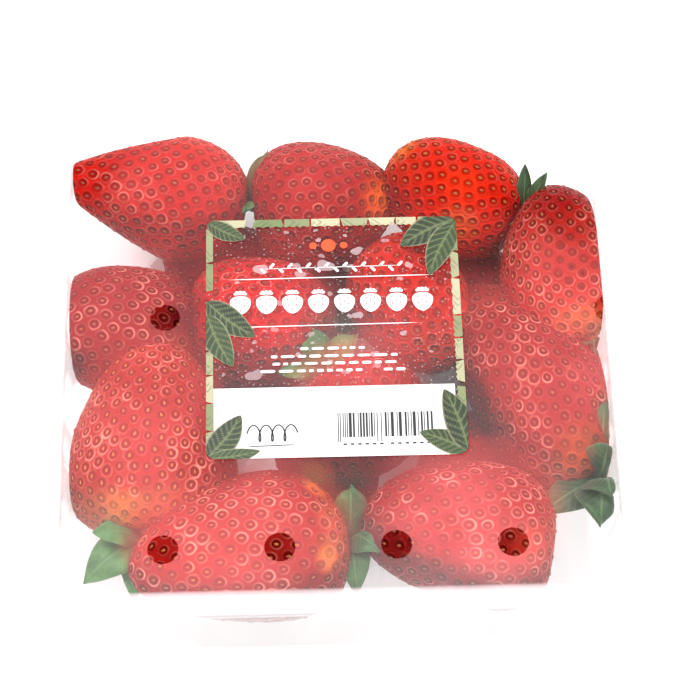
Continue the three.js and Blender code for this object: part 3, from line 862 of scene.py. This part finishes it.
def makeBerries():
    skinMaterial, seedMaterial = berrySkin(), seedSkin()
    template = seedTemplate(seedShape)
    seedPoints, seedRipe = [], []
    for index, (name, b) in enumerate(berries.items()):
        low = name.startswith("low")
        random = np.random.default_rng(40 + index)
        rings, sides = (skin["lowAlong"], skin["lowAround"]) if low else (skin["along"], skin["around"])
        along = ((1 - np.cos(np.linspace(0, pi, rings))) / 2)[:, None]
        around = np.linspace(0, 2 * pi, sides, endpoint=False)[None]
        around = around + skin["topBias"] * np.cos(around)
        along, around = np.broadcast_arrays(along, around)
        bare = berrySurface(b, along, around)
        seedAlong, seedAround = seedPlaces(b, b["spacing"], random)
        seeds = berrySurface(b, seedAlong, seedAround)
        toTip = unit(berrySurface(b, np.minimum(seedAlong + 0.004, 0.999), seedAround) - seeds)
        near, paintedGlint = skinMarks(b, bare, seeds, toTip, random)
        height = skinHeight(near, along) - skin["ripple"] * ripple(bare, 7 + index)
        points = onePole(keepInside(bare + height[..., None] * gridNormals(bare)))
        tone = onePole(berryTone(b, bare, along, around, index))
        quads, tris = cappedFaces(rings - 2, sides)
        addPiece("berry-" + name, points, quads[:, ::-1], tris[:, ::-1],
                 {"tone": tone, "near": onePole(near), "paintedGlint": onePole(paintedGlint)},
                 skinMaterial, "berry_skin", "berries")
        heap["points"].append(points)
        heap["paintedGlow"].append(tone / tone.max(1, keepdims=True))
        seedPoints.append(seedsInBowls(b, seeds, seedAlong, seedAround, toTip, template, index, random))
        ripe = seedLooks.get(name, usualSeedLook) + random.normal(0, 0.16, len(seeds))
        seedRipe.append(np.repeat(np.clip(ripe, 0, 1), len(template)))
        print("berry", name, len(seeds), "seeds")
    points, ripe = np.concatenate(seedPoints), np.concatenate(seedRipe)
    total = len(points) // len(template)
    quads, tris = cappedFaces(seedShape["rings"], seedShape["sides"])
    for part, (first, stop) in enumerate(((0, total // 2), (total // 2, total))):
        shift = (np.arange(stop - first) * len(template))[:, None, None]
        chosen = slice(first * len(template), stop * len(template))
        addPiece(f"seeds-{part + 1}", points[chosen], (quads[None] + shift).reshape(-1, 4),
                 (tris[None] + shift).reshape(-1, 3), {"ripe": ripe[chosen]},
                 seedMaterial, "berry_seed", "berries")
    print("seeds", total)


makeBerries()

# The leaves: which berry, where the tip lies, width and how far the middle arches up
leaves = [
    ("b1", (-25, 47.5, 33), 7, 4), ("b2", (-18, 66, 36), 5, 4),
    ("b3", (54.5, 55.5, 43), 4.5, 3), ("b3", (60.5, 52.5, 43.5), 4.5, 3), ("b3", (54, 38, 38), 7, 4),
    ("b4", (71.5, 1, 36), 8, 4), ("b4", (68, -4, 32), 8, 4),
    ("b6", (-68, -62, 27), 13, 6), ("b6", (-55, -66, 24), 11, 6),
    ("b6", (-65, -51, 35), 8, 4), ("b6", (-44, -55, 36), 7, 4),
    ("b7", (3, -39, 35), 9, 5), ("b7", (10, -57, 32), 9, 5), ("b7", (4, -66, 24), 9, 5),
    ("b9", (74, -20, 44), 11, 4), ("b9", (74, -47, 42), 13, 6), ("b9", (68, -53, 36), 14, 7),
    ("b9", (53, -47, 32), 11, 4), ("b9", (74, -33, 45), 12, 4),
    ("b12", (-16, -3, 31), 8, 4), ("b12", (-7, 8, 36), 9, 4), ("b12", (6, 6, 36), 8, 4),
]
leafLooks = {"b6": 0.9, "b12": 0.8, "b1": 0.7, "b7": 0.4}  # 1 is pale and fresh
usualLeafLook = 0.1
leafShape = {
    "rows": 30, "columns": 13,
    "thick": 0.35,
    "wave": 0.5, "cup": 0.12, "crinkle": 0.25, "edgeLift": 0.3,
    # colour the leaves give the film's painted glow
    "paintedGlow": (0.03, 0.07, 0.03),
    # colours as on a screen, the first two old and fresh
    "deep": ((22, 56, 26), (58, 112, 50)), "light": ((40, 82, 38), (92, 148, 76)),
    "stalk": (104, 146, 76), "edge": (96, 136, 84), "veins": (110, 152, 96),
}


# Half width of a leaf: part of a sine wave, narrow at the stalk, widest before its middle, pointed
def leafHalfWidth(along, width):
    return width / 2 * np.sin(pi * (0.1 + 0.9 * along ** 0.85)) ** 0.8 + 0.05


# The upper and lower faces of a leaf. It arches on a quadratic curve from its berry to its tip,
# cupped across, a little wavy along, and thinner at its edges.
def leafFaces(berry, tip, width, arch, phase, s=leafShape):
    start = keepInside(np.array(berries[berry]["leaves"], float), 1.8)
    end = keepInside(np.array(tip, float), 1.8)
    middle = (start + end) / 2 + np.array([0, 0, 2 * arch])
    along = np.linspace(0, 1, s["rows"])[:, None]
    across = np.linspace(-1, 1, s["columns"])[None]
    path = (1 - along) ** 2 * start + 2 * along * (1 - along) * middle + along ** 2 * end
    forward = unit(2 * (1 - along) * (middle - start) + 2 * along * (end - middle))
    sideways = unit(np.cross(forward, [0, 0, 1]))
    outward = np.cross(sideways, forward)
    half = leafHalfWidth(along, width)
    lift = s["wave"] * np.sin(2 * pi * along + 2 * across) - s["cup"] * width * across ** 2
    lift = lift + s["crinkle"] * np.sin(9 * along + 5 * across + phase)
    lift = lift + s["edgeLift"] * np.abs(across) ** 0.7
    p = path[:, None] + (half * across)[..., None] * sideways[:, None] + lift[..., None] * outward[:, None]
    p = keepInside(p, 0.5)
    normal = unit(np.cross(np.gradient(p, axis=1), np.gradient(p, axis=0)))
    thick = s["thick"] / 2 * (1 - 0.75 * np.abs(across) ** 3)[..., None]
    return p + normal * thick, p - normal * thick, *np.broadcast_arrays(along, across)


# Leaf: patches of two greens, paler at the stalk and the edges, with a midrib and slanting veins
def leafSkin(s=leafShape):
    paint = Paint("leafSkin")
    along, side = paint.attribute("along"), paint.attribute("across").size()
    wave = (along * 9.0 - side * 2.2).fraction()
    rib = 1 - paint.step(side, 0.03, 0.10)
    vein = (1 - paint.step((wave - 0.5).size(), 0.03, 0.10)) * 0.45
    lines = rib.upper(vein)
    patch = paint.step(paint.noise(160.0, 3.0, 0.6), 0.35, 0.7)
    fresh = paint.attribute("fresh")
    deep, light = (paint.mix(fresh, *linear(s[key])) for key in ("deep", "light"))
    tone = paint.mix(patch, deep, light)
    tone = paint.mix((1 - paint.step(along, 0.0, 0.3)) * 0.6, tone, linear(s["stalk"]))
    tone = paint.mix(paint.step(side, 0.86, 1.0) * 0.4, tone, linear(s["edge"]))
    tone = paint.mix(lines * 0.45, tone, linear(s["veins"]))
    return paint.finish(paint.principled({
        "Base Color": tone, "Roughness": 0.5, "Normal": paint.bump(lines, 0.0003, 0.5),
        "Sheen Weight": 0.25, "Sheen Roughness": 0.5}))


def makeLeaves():
    points, quads, along, across, fresh, start = [], [], [], [], [], 0
    rows, columns = leafShape["rows"], leafShape["columns"]
    each = rows * columns
    grid = gridQuads(rows, columns)
    rim = np.concatenate([np.arange(columns), columns * np.arange(1, rows) + columns - 1,
                          (rows - 1) * columns + np.arange(columns - 2, -1, -1),
                          columns * np.arange(rows - 2, 0, -1)])
    for number, (berry, tip, width, arch) in enumerate(leaves):
        top, under, u, v = leafFaces(berry, tip, width, arch, number)
        points += [top.reshape(-1, 3), under.reshape(-1, 3)]
        heap["points"].append(top.reshape(-1, 3))
        heap["paintedGlow"].append(np.tile(leafShape["paintedGlow"], (each, 1)))
        wall = np.stack([rim, rim + each, np.roll(rim, -1) + each, np.roll(rim, -1)], -1)
        quads += [grid + start, grid[:, ::-1] + start + each, wall + start]
        along += [u.ravel(), u.ravel()]
        across += [v.ravel(), v.ravel()]
        fresh.append(np.full(2 * each, leafLooks.get(berry, usualLeafLook)))
        start += 2 * each
    addPiece("leaves", np.concatenate(points), np.concatenate(quads), None,
             {"along": np.concatenate(along), "across": np.concatenate(across),
              "fresh": np.concatenate(fresh)},
             leafSkin(), "berry_leaf", "berries")


makeLeaves()
print("leaves made")

# The lid film: a taut sheet with round vents, misted except where berries press near it
film = {
    "height": room["lid"], "half": 79.4, "radius": 19.4,
    "vents": room["vents"], "ventRadius": 4.0, "ventSides": 40,
    "pitch": 1.6, "spare": 1.2,  # distance between its points, and least distance from a hole
    "milk": (0.93, 0.78, 0.8),
    "mist": 0.108,  # how much the mist hides where its share is 1
    "paintedGlow": 4.2,  # strength of the film's painted glow, an emission that stands in for the fruit's light that the mist scatters
    "cells": 130, "cell": 1.3,  # raster of that painted glow: cells along a side, and their size
    "glowFrom": 24, "glowFull": 42,  # heights of the fruit where it begins and where it is full
    "seal": 5.4,  # share of mist where the film is sealed to the rim
    # places with the share of mist there
    "places": [(-70, 53, 0.0), (-51, 48, 0.42), (-32, 47, 0.5), (-3, 52, 0.42), (33, 49, 0.0),
               (47, 45, 0.0), (20, 62, 0.0), (64, 38, 0.0), (59, 19, 0.5), (64, 1, 0.6),
               (-61, 10, 0.55), (-52, -9, 0.6), (-52, -30, 0.95), (-34, -36, 0.45), (-57, -50, 0.9),
               (-70, -38, 0.55), (-26, -53, 0.95), (-29, -70, 1.1), (28, -52, 1.15), (32, -71, 1.5),
               (51, -20, 0.75), (70, -15, 0.85), (57, -44, 0.7), (68, -47, 0.35), (0, -4, 0.95),
               (31, 28, 0.15), (4, 30, 0.3), (-28, 28, 0.35), (40, 7, 0.5), (43, 26, 0.15), (5, -40, 0.5)],
}


# Outline of a square with quarter circles at its corners, with points a step apart on its sides
def roundedSquare(half, radius, step):
    a = np.linspace(-pi / 2, 0, 10)
    corner = np.stack([half - radius + radius * np.cos(a), radius - half + radius * np.sin(a)], -1)
    x = np.linspace(radius - half, half - radius, int(2 * (half - radius) / step))[:-1]
    loop = fourSides(np.concatenate([np.stack([x, np.full_like(x, -half)], -1), corner]))
    return loop[np.linalg.norm(loop - np.roll(loop, 1, 0), axis=1) > 1e-6]


# Mist at a point: the mean of the listed places, weighed by closeness
def mistAt(xy, f=film):
    places = np.array(f["places"])
    away = np.linalg.norm(xy[:, None] - places[None, :, :2], axis=-1)
    weight = 1 / (away ** 3 + 60.0)
    return (weight * places[:, 2]).sum(1) / weight.sum(1)


# Colour of the film's painted glow: the fruit near below, on a raster, blurred, and fading out over deep
# gaps
def underFilm(xy, f=film):
    def cellOf(place):
        return np.clip(place / f["cell"] + f["cells"] / 2, 0, f["cells"] - 1).astype(int).T

    points, colours = np.concatenate(heap["points"]), np.concatenate(heap["paintedGlow"])
    order = np.argsort(points[:, 2])  # so that the highest point in a cell is written last
    i, j = cellOf(points[order, :2])
    top, tone = np.zeros((f["cells"], f["cells"])), np.zeros((f["cells"], f["cells"], 3))
    top[i, j] = points[order, 2]
    tone[i, j] = colours[order]
    paintedGlow = tone * smooth(top, f["glowFrom"], f["glowFull"])[..., None]
    for axis in (0, 1, 0, 1):
        paintedGlow = (np.roll(paintedGlow, 1, axis) + 2 * paintedGlow + np.roll(paintedGlow, -1, axis)) / 4
    i, j = cellOf(xy)
    return paintedGlow[i, j]


# Clear film with a milky mist in it, and a painted glow: emission tinted by the fruit below
def mistyFilm(f=film):
    paint = Paint("lidFilm")
    cloud = paint.noise(60.0, 4.0, 0.6)
    amount = paint.attribute("mist") * (cloud * 0.6 + 0.7) * f["mist"]
    # Painted glow: the mist emits the colour of the fruit below
    milk = paint.principled({
        "Base Color": (*f["milk"], 1), "Roughness": 0.5, "Specular IOR Level": 0.0,
        "Emission Color": paint.attribute("paintedGlow", colour=True), "Emission Strength": f["paintedGlow"]})
    return paint.sheet(amount, milk, 0.003, 0.5, 0.12)


def makeFilm(f=film):
    a = np.linspace(0, 2 * pi, f["ventSides"], endpoint=False)
    ring = np.stack([np.cos(a), np.sin(a)], -1)
    holes = [np.array(v) + f["ventRadius"] * ring for v in f["vents"]]
    line = np.arange(-f["half"] + f["pitch"], f["half"], f["pitch"])
    grid = np.stack(np.meshgrid(line, line), -1).reshape(-1, 2)
    outer = roundedSquare(f["half"], f["radius"], f["pitch"])
    keep = insideLoop(grid, outer * 0.985)
    for vent in f["vents"]:
        keep &= np.linalg.norm(grid - np.array(vent), axis=1) > f["ventRadius"] + f["spare"]
    # two lines of points where the seal begins
    mouth, corner = tray["mouthHalf"], tray["radius"]
    seam = [roundedSquare(mouth + grow, corner + grow, 1.5) for grow in (-0.5, 0.3)]
    keep &= np.abs(np.abs(grid).max(1) - mouth) > f["spare"]
    flat, tris = fillOutline([outer] + holes, [grid[keep]] + seam)
    points = np.column_stack([flat, np.full(len(flat), f["height"])])
    sealed = 1 - insideLoop(flat, roundedSquare(mouth, corner, 1.0)).astype(float)
    share = mistAt(flat) * (1 - sealed) + f["seal"] * sealed
    paintedGlow = underFilm(flat) * (1 - sealed[:, None])
    addPiece("lid-film", points, None, tris, {"mist": share, "paintedGlow": paintedGlow}, mistyFilm(), "lid_film", "film")


makeFilm()
print("film made")

# The label: a clear sheet with pale splashes, printed with leaves, berry shapes and a white field.
# Lengths are in millimetres from its upper left corner, to the right and down. Colours are as on
# a screen.
label = {
    "centre": (-0.5, 0.5), "width": 69.5, "height": 73.5, "radius": 3.0,
    "margin": 0.3,  # between the print and its rounded corners
    "printAt": 46.45, "layer": 0.012,
    "white": (250, 249, 250), "ink": (22, 18, 26), "orange": (240, 84, 20), "seeds": (214, 92, 92),
    "cream": (208, 200, 164), "paleGreen": (124, 138, 88), "green": (42, 62, 25), "deepGreen": (12, 22, 8),
    "panel": (2.3, 52.4, 66.4, 73.3),  # left, top, right, bottom
    "lines": [((6.0, 19.2), (62.6, 18.8)), ((6.3, 34.0), (58.0, 33.6))],
    "berries": {"first": 9.6, "step": 7.05, "count": 8, "top": 22.9, "width": 5.7, "height": 7.2},
    "garland": {"first": 14.5, "last": 54.0, "at": 15.6, "step": 2.5},
    "dots": [(33.8, 8.9, 2.0), (29.6, 8.9, 1.05), (38.0, 8.9, 1.05)],
    "rows": [(25.4, 43.5, 40.9), (17.6, 51.6, 43.2), (18.0, 51.3, 45.4), (14.7, 42.0, 47.6),
             (47.6, 54.9, 47.6)],
    "rowGap": 0.75,
    "bars": {"left": 35.0, "module": 0.264, "count": 95, "top": 60.4, "bottom": 67.6, "long": 69.0},
    "ticks": {"first": 36.3, "step": 1.92, "count": 12, "gap": 0.9, "at": 69.6, "size": (1.05, 0.5)},
    "flourish": {"left": 12.0, "length": 11.5, "turns": 3.5, "lean": 0.9, "at": 65.9, "rise": 2.4},
    "underline": ((11.0, 69.7), (24.0, 69.4)),
    "leaves": [((69.4, 1.0), (53.5, 9.5), 8.5, 0), ((69.0, 2.0), (61.0, 19.0), 7.5, 1),
               ((0.6, 26.0), (13.5, 37.0), 8.0, 0), ((0.6, 30.0), (7.5, 46.0), 7.5, 1),
               ((69.2, 72.6), (56.5, 66.5), 6.5, 1), ((69.0, 72.0), (63.5, 54.0), 8.0, 0),
               ((0.8, 72.4), (9.5, 60.5), 7.5, 0), ((0.8, 73.0), (14.5, 71.0), 4.5, 1),
               ((0.8, 1.0), (11.0, 6.5), 5.5, 1)],  # base, tip, width, kind
    "splashes": 46, "splashEnd": 51.5,
}


class Sheet:  # flat coloured shapes, each on its own thin layer
    def __init__(self, level=0):
        self.points, self.quads, self.colours, self.start, self.level = [], [], [], 0, level

    def grid(self, uv, colour):  # uv: rows x columns x 2, pulled in at the label's round corners
        rows, columns = uv.shape[:2]
        radius, reach = label["radius"], np.array([label["width"], label["height"]])
        middle = np.clip(uv, radius, reach - radius)
        over = np.linalg.norm(uv - middle, axis=-1, keepdims=True)
        uv = middle + (uv - middle) * np.minimum((radius - label["margin"]) / np.maximum(over, 1e-9), 1)
        x = label["centre"][0] - label["width"] / 2 + uv[..., 0]
        y = label["centre"][1] + label["height"] / 2 - uv[..., 1]
        z = np.full_like(x, label["printAt"] + self.level * label["layer"])
        self.points.append(np.stack([x, y, z], -1).reshape(-1, 3))
        self.colours.append(np.broadcast_to(colour, uv.shape[:2] + (3,)).reshape(-1, 3))
        self.quads.append(gridQuads(rows, columns, start=self.start))
        self.start += rows * columns

    # A straight stroke between two points. Its width follows a quarter circle near a round end.
    def strip(self, start, end, width, colour, rounded=True):
        start, end = np.array(start, float), np.array(end, float)
        run = end - start
        along = np.linspace(-1, 1, 14)
        ends = 1 - np.minimum((1 - np.abs(along)) * 2.5, 1)
        half = np.sqrt(np.maximum(1 - ends ** 2, 0)) if rounded else np.ones_like(along)
        middle = start + (along[:, None] + 1) / 2 * run
        side = leftOf(unit(run)) * width / 2
        self.grid(middle[:, None] + np.array([-1, 1])[None, :, None] * half[:, None, None] * side, colour)

    # A filled round shape. outline: how far it reaches at 29 angles, as a share of its size
    def disc(self, centre, size, colour, outline=1.0):
        a = np.linspace(0, 2 * pi, 29)
        ring = np.stack([np.cos(a) * outline, np.sin(a) * outline], -1)
        spoke = np.linspace(0.001, 1, 3)[:, None, None]
        self.grid(np.array(centre) + spoke * ring * size, colour)

    def rectangle(self, left, top, right, bottom, colour, count=2):
        u, v = np.meshgrid(np.linspace(left, right, count), np.linspace(top, bottom, count))
        self.grid(np.stack([u, v], -1), colour)

    # The mesh of all shapes, with every face turned up and the empty ones left out
    def piece(self, name, material, colourName):
        points, quads = np.concatenate(self.points), np.concatenate(self.quads)
        p = points[quads]
        area = np.cross(p[:, 2, :2] - p[:, 0, :2], p[:, 3, :2] - p[:, 1, :2])
        quads = np.where(area[:, None] < 0, quads[:, ::-1], quads)
        return addPiece(name, points, quads[np.abs(area) > 1e-9], None,
                        {colourName: np.concatenate(self.colours)}, material,
                        "label_print", "label", flat=True)


# A printed leaf: pointed and slightly swept, with a midrib and slanting veins
def printLeaf(sheet, base, tip, width, kind, rows=56, columns=15):
    base, tip = np.array(base, float), np.array(tip, float)
    along = np.linspace(0, 1, rows)[:, None]
    across = np.linspace(-1, 1, columns)[None]
    run = tip - base
    half = width / 2 * np.sin(pi * along ** 0.8) ** 0.75
    sweep = 0.09 * width * np.sin(pi * along)
    uv = base + along[..., None] * run + (half * across + sweep)[..., None] * leftOf(unit(run))
    deep, mid, pale = (linear(label[k]) for k in ("deepGreen", "green", "paleGreen"))
    wave = np.abs((along * 8 - np.abs(across) * 1.5) % 1 - 0.5)
    vein = np.maximum(1 - smooth(wave, 0.04, 0.16), 1 - smooth(np.abs(across), 0.05, 0.16))
    shade = smooth(wave + 0.25 * across * (1 - 2 * kind), 0.1, 0.5)
    colour = deep + (mid - deep) * (0.25 + 0.5 * kind + 0.45 * shade)[..., None]
    colour = colour + (pale - colour) * 0.75 * vein[..., None]
    edge = 0.5 * smooth(np.abs(across), 0.86, 1.0)
    colour = colour + (linear(label["cream"]) - colour) * edge[..., None]
    sheet.grid(uv, colour)


# The border: pieces of pale and green leaf laid end to end along three sides, with slanting ends,
# one ragged edge and veins
def printBorder(sheet, random):
    w, h = label["width"], label["height"]
    sides = [((0.8, 1.45), (w - 1.5, 1.45), 2.5),
             ((1.2, 3.2), (1.2, h - 4), 2.0),
             ((w - 1.35, 3.4), (w - 1.35, h - 3), 2.2)]
    cream, green, deep = (linear(label[k]) for k in ("cream", "paleGreen", "deepGreen"))
    a = np.linspace(0, 1, 40)[:, None]
    c = np.linspace(-1, 1, 8)[None]
    for start, end, width in sides:
        start, end = np.array(start), np.array(end)
        length = np.linalg.norm(end - start)
        run = unit(end - start)
        at = 0.0
        while at < length - 3:
            size = min(random.uniform(6, 12), length - at)
            slant = random.uniform(-0.9, 0.9)
            ragged = 0.12 * np.sin(23 * a + random.uniform(0, 6)) * (c > 0.99)
            along = at + a * (size - 0.5) + slant * c * (0.5 - a)
            across = (c + ragged) * width / 2
            wave = np.abs((a * size * 0.5 + np.abs(c - slant) * 0.8) % 1 - 0.5)
            vein = (1 - smooth(wave, 0.05, 0.2)) * smooth(np.sin(7 * a + slant * 9) + c, -0.6, 0.9)
            tint = cream + (green - cream) * random.uniform(0, 1) ** 1.5
            colour = tint + (deep - tint) * 0.55 * vein[..., None]
            sheet.grid(start + along[..., None] * run + across[..., None] * leftOf(run), colour)
            at += size + (random.uniform(1, 3) if random.random() < 0.3 else 0)


# A berry shape: a white body as wide as a berry is along its length, five leaf strokes above and
# six seeds
def printBerry(sheet, centre, top, width, height, white, seedColour):
    shape = {"shoulder": 0.36, "cone": 1.9, "blunt": 0.62}
    along = np.linspace(0, 1, 24)[:, None]
    u = centre + berryWidth(along, shape) * width / 2 * np.array([-1, 1])
    v = top + (0.19 + 0.81 * along) * height
    sheet.grid(np.stack(np.broadcast_arrays(u, v), -1), white)
    base = np.array([centre, top + 0.09 * height])
    for turn in np.radians((-86, -48, 0, 48, 86)):
        sheet.level += 0.15
        way = np.array([np.sin(turn), 0.12 - np.cos(turn) * 0.6])
        sheet.strip(base - way * 0.3, base + way * 0.26 * height, 0.8, white)
    sheet.level += 0.25
    for du, dv in ((-0.22, 0.38), (0.2, 0.36), (-0.02, 0.52), (-0.2, 0.64), (0.18, 0.62), (0.0, 0.8)):
        spot = np.array([centre + du * width, top + dv * height])
        sheet.strip(spot - [0, 0.3], spot + [0, 0.3], 0.3, seedColour)
    sheet.level -= 1


def printGarland(sheet, g, white):  # a thin stem with short leaves on either side
    sheet.strip((g["first"], g["at"] + 0.4), (g["last"], g["at"]), 0.22, white)
    for k, u in enumerate(np.arange(g["first"] + 0.6, g["last"] - 1, g["step"])):
        stalk = np.array([u, g["at"] + 0.2])
        sheet.strip(stalk, stalk + [1.3, -1.5 if k % 2 else 1.5], 0.8, white)


def printRows(sheet, random, white):  # rows of dashes
    for start, end, v in label["rows"]:
        at = start
        while at < end - 1:
            size = min(random.uniform(1.2, 4.2), end - at)
            sheet.strip((at, v), (at + size, v - 0.01), random.uniform(0.75, 0.95), white)
            at += size + label["rowGap"]


# Bars and gaps of one to three modules over a row of ticks. Those at the start, middle and end are
# longer.
def printBars(sheet, random, ink):
    bars, ticks = label["bars"], label["ticks"]
    widths = random.choice([1, 1, 1, 2, 2, 3], 80)
    at, index = 0, 0
    while at < bars["count"] - 1 and index < len(widths) - 1:
        width, gap = widths[index], widths[index + 1]
        guard = index in (0, 2, 28, 30) or at > bars["count"] - 5
        x = bars["left"] + (at + width / 2) * bars["module"]
        foot = bars["long"] if guard else bars["bottom"]
        sheet.strip((x, bars["top"]), (x, foot), width * bars["module"], ink, rounded=False)
        at += width + gap
        index += 2
    length, width = ticks["size"]
    for k in range(ticks["count"]):
        x = ticks["first"] + k * ticks["step"] + (ticks["gap"] if k >= ticks["count"] / 2 else 0)
        sheet.strip((x, ticks["at"]), (x + length, ticks["at"]), width, ink)


# A flourish in one stroke: an oval motion carried to the right, with a line under it
def printFlourish(sheet, f, ink):
    t = np.linspace(0, 1, 70)
    angle = 2 * pi * f["turns"] * t
    curve = np.stack([f["left"] + f["length"] * t - f["lean"] * np.cos(angle),
                      f["at"] - f["rise"] * np.sin(angle)], -1)
    way = np.gradient(curve, axis=0)
    side = unit(np.stack([-way[:, 1], way[:, 0]], -1)) * 0.2
    sheet.grid(np.stack([curve - side, curve + side], 1), ink)
    sheet.strip(*label["underline"], 0.3, ink)


# Printed ink, a little uneven
def labelInk():
    paint = Paint("labelInk")
    colour = paint.mix(paint.noise(2500.0) * 0.06, paint.attribute("ink", colour=True), (0.5, 0.5, 0.5))
    return paint.finish(paint.principled({"Base Color": colour, "Roughness": 0.42}))


# Clear sheet: see-through, with pale patches where "milk" says so and a fine pale speckle
def labelClear():
    paint = Paint("labelClear")
    milk = paint.attribute("milk", colour=True)
    milk = paint.node("SeparateColor", {}, {"Color": milk}).out(0)
    cells = paint.node("TexVoronoi", {}, {"Vector": paint.place(), "Scale": 1000.0})
    pick = paint.node("SeparateColor", {}, {"Color": cells.out(1)}).out(0)
    speck = (1 - paint.step(cells.out(0), 0.14, 0.32)) * paint.step(pick, 0.35, 0.6) * 0.3
    pale = paint.principled({"Base Color": (0.95, 0.74, 0.78, 1), "Roughness": 0.5,
                             "Specular IOR Level": 0.2})
    return paint.sheet(milk.upper(speck), pale, 0.006, 0.5, 0.1)


def makePrint(random):
    white, ink = linear(label["white"]), linear(label["ink"])
    sheet = Sheet()
    printBorder(sheet, random)
    sheet.level = 1
    sheet.rectangle(*label["panel"], white)
    for start, end in label["lines"]:
        sheet.strip(start, end, 0.32, white)
    row = label["berries"]
    for k in range(row["count"]):
        top = row["top"] - 0.1 * k / row["count"]
        printBerry(sheet, row["first"] + row["step"] * k, top, row["width"], row["height"],
                   white, linear(label["seeds"]))
    printGarland(sheet, label["garland"], white)
    for u, v, radius in label["dots"]:
        sheet.disc((u, v), radius, linear(label["orange"]))
    printRows(sheet, random, white)
    sheet.level = 2
    printBars(sheet, random, ink)
    printFlourish(sheet, label["flourish"], ink)
    for number, (base, tip, width, kind) in enumerate(label["leaves"]):
        sheet.level = 3 + number
        printLeaf(sheet, base, tip, width, kind)
    sheet.piece("label-print", labelInk(), "ink")


# The sheet itself with its splashes: discs whose outline is uneven by two sine waves and flattened
def makeSheet(random):
    clear = Sheet(-3)
    clear.rectangle(0, 0, label["width"], label["height"], (0.0, 0.0, 0.0), 90)
    clear.level = -1
    a = np.linspace(0, 2 * pi, 29)
    for _ in range(label["splashes"]):
        centre = (random.uniform(4, label["width"] - 4), random.uniform(4, label["splashEnd"]))
        size = random.uniform(0.35, 1.0) if random.random() < 0.75 else random.uniform(1.0, 2.3)
        low, high = random.uniform(0, 6, 2)
        flatness = 1 - random.uniform(0.6, 1.0)
        uneven = 1 + 0.18 * np.sin(2 * a + low) + 0.1 * np.sin(3 * a + high)
        milk = (random.uniform(0.22, 0.42),) * 3
        clear.disc(centre, size, milk, uneven * (1 - flatness * np.sin(a) ** 2))
    clear.piece("label-sheet", labelClear(), "milk")


def makeLabel():
    random = np.random.default_rng(5)
    makePrint(random)
    makeSheet(random)


makeLabel()
print("label made")
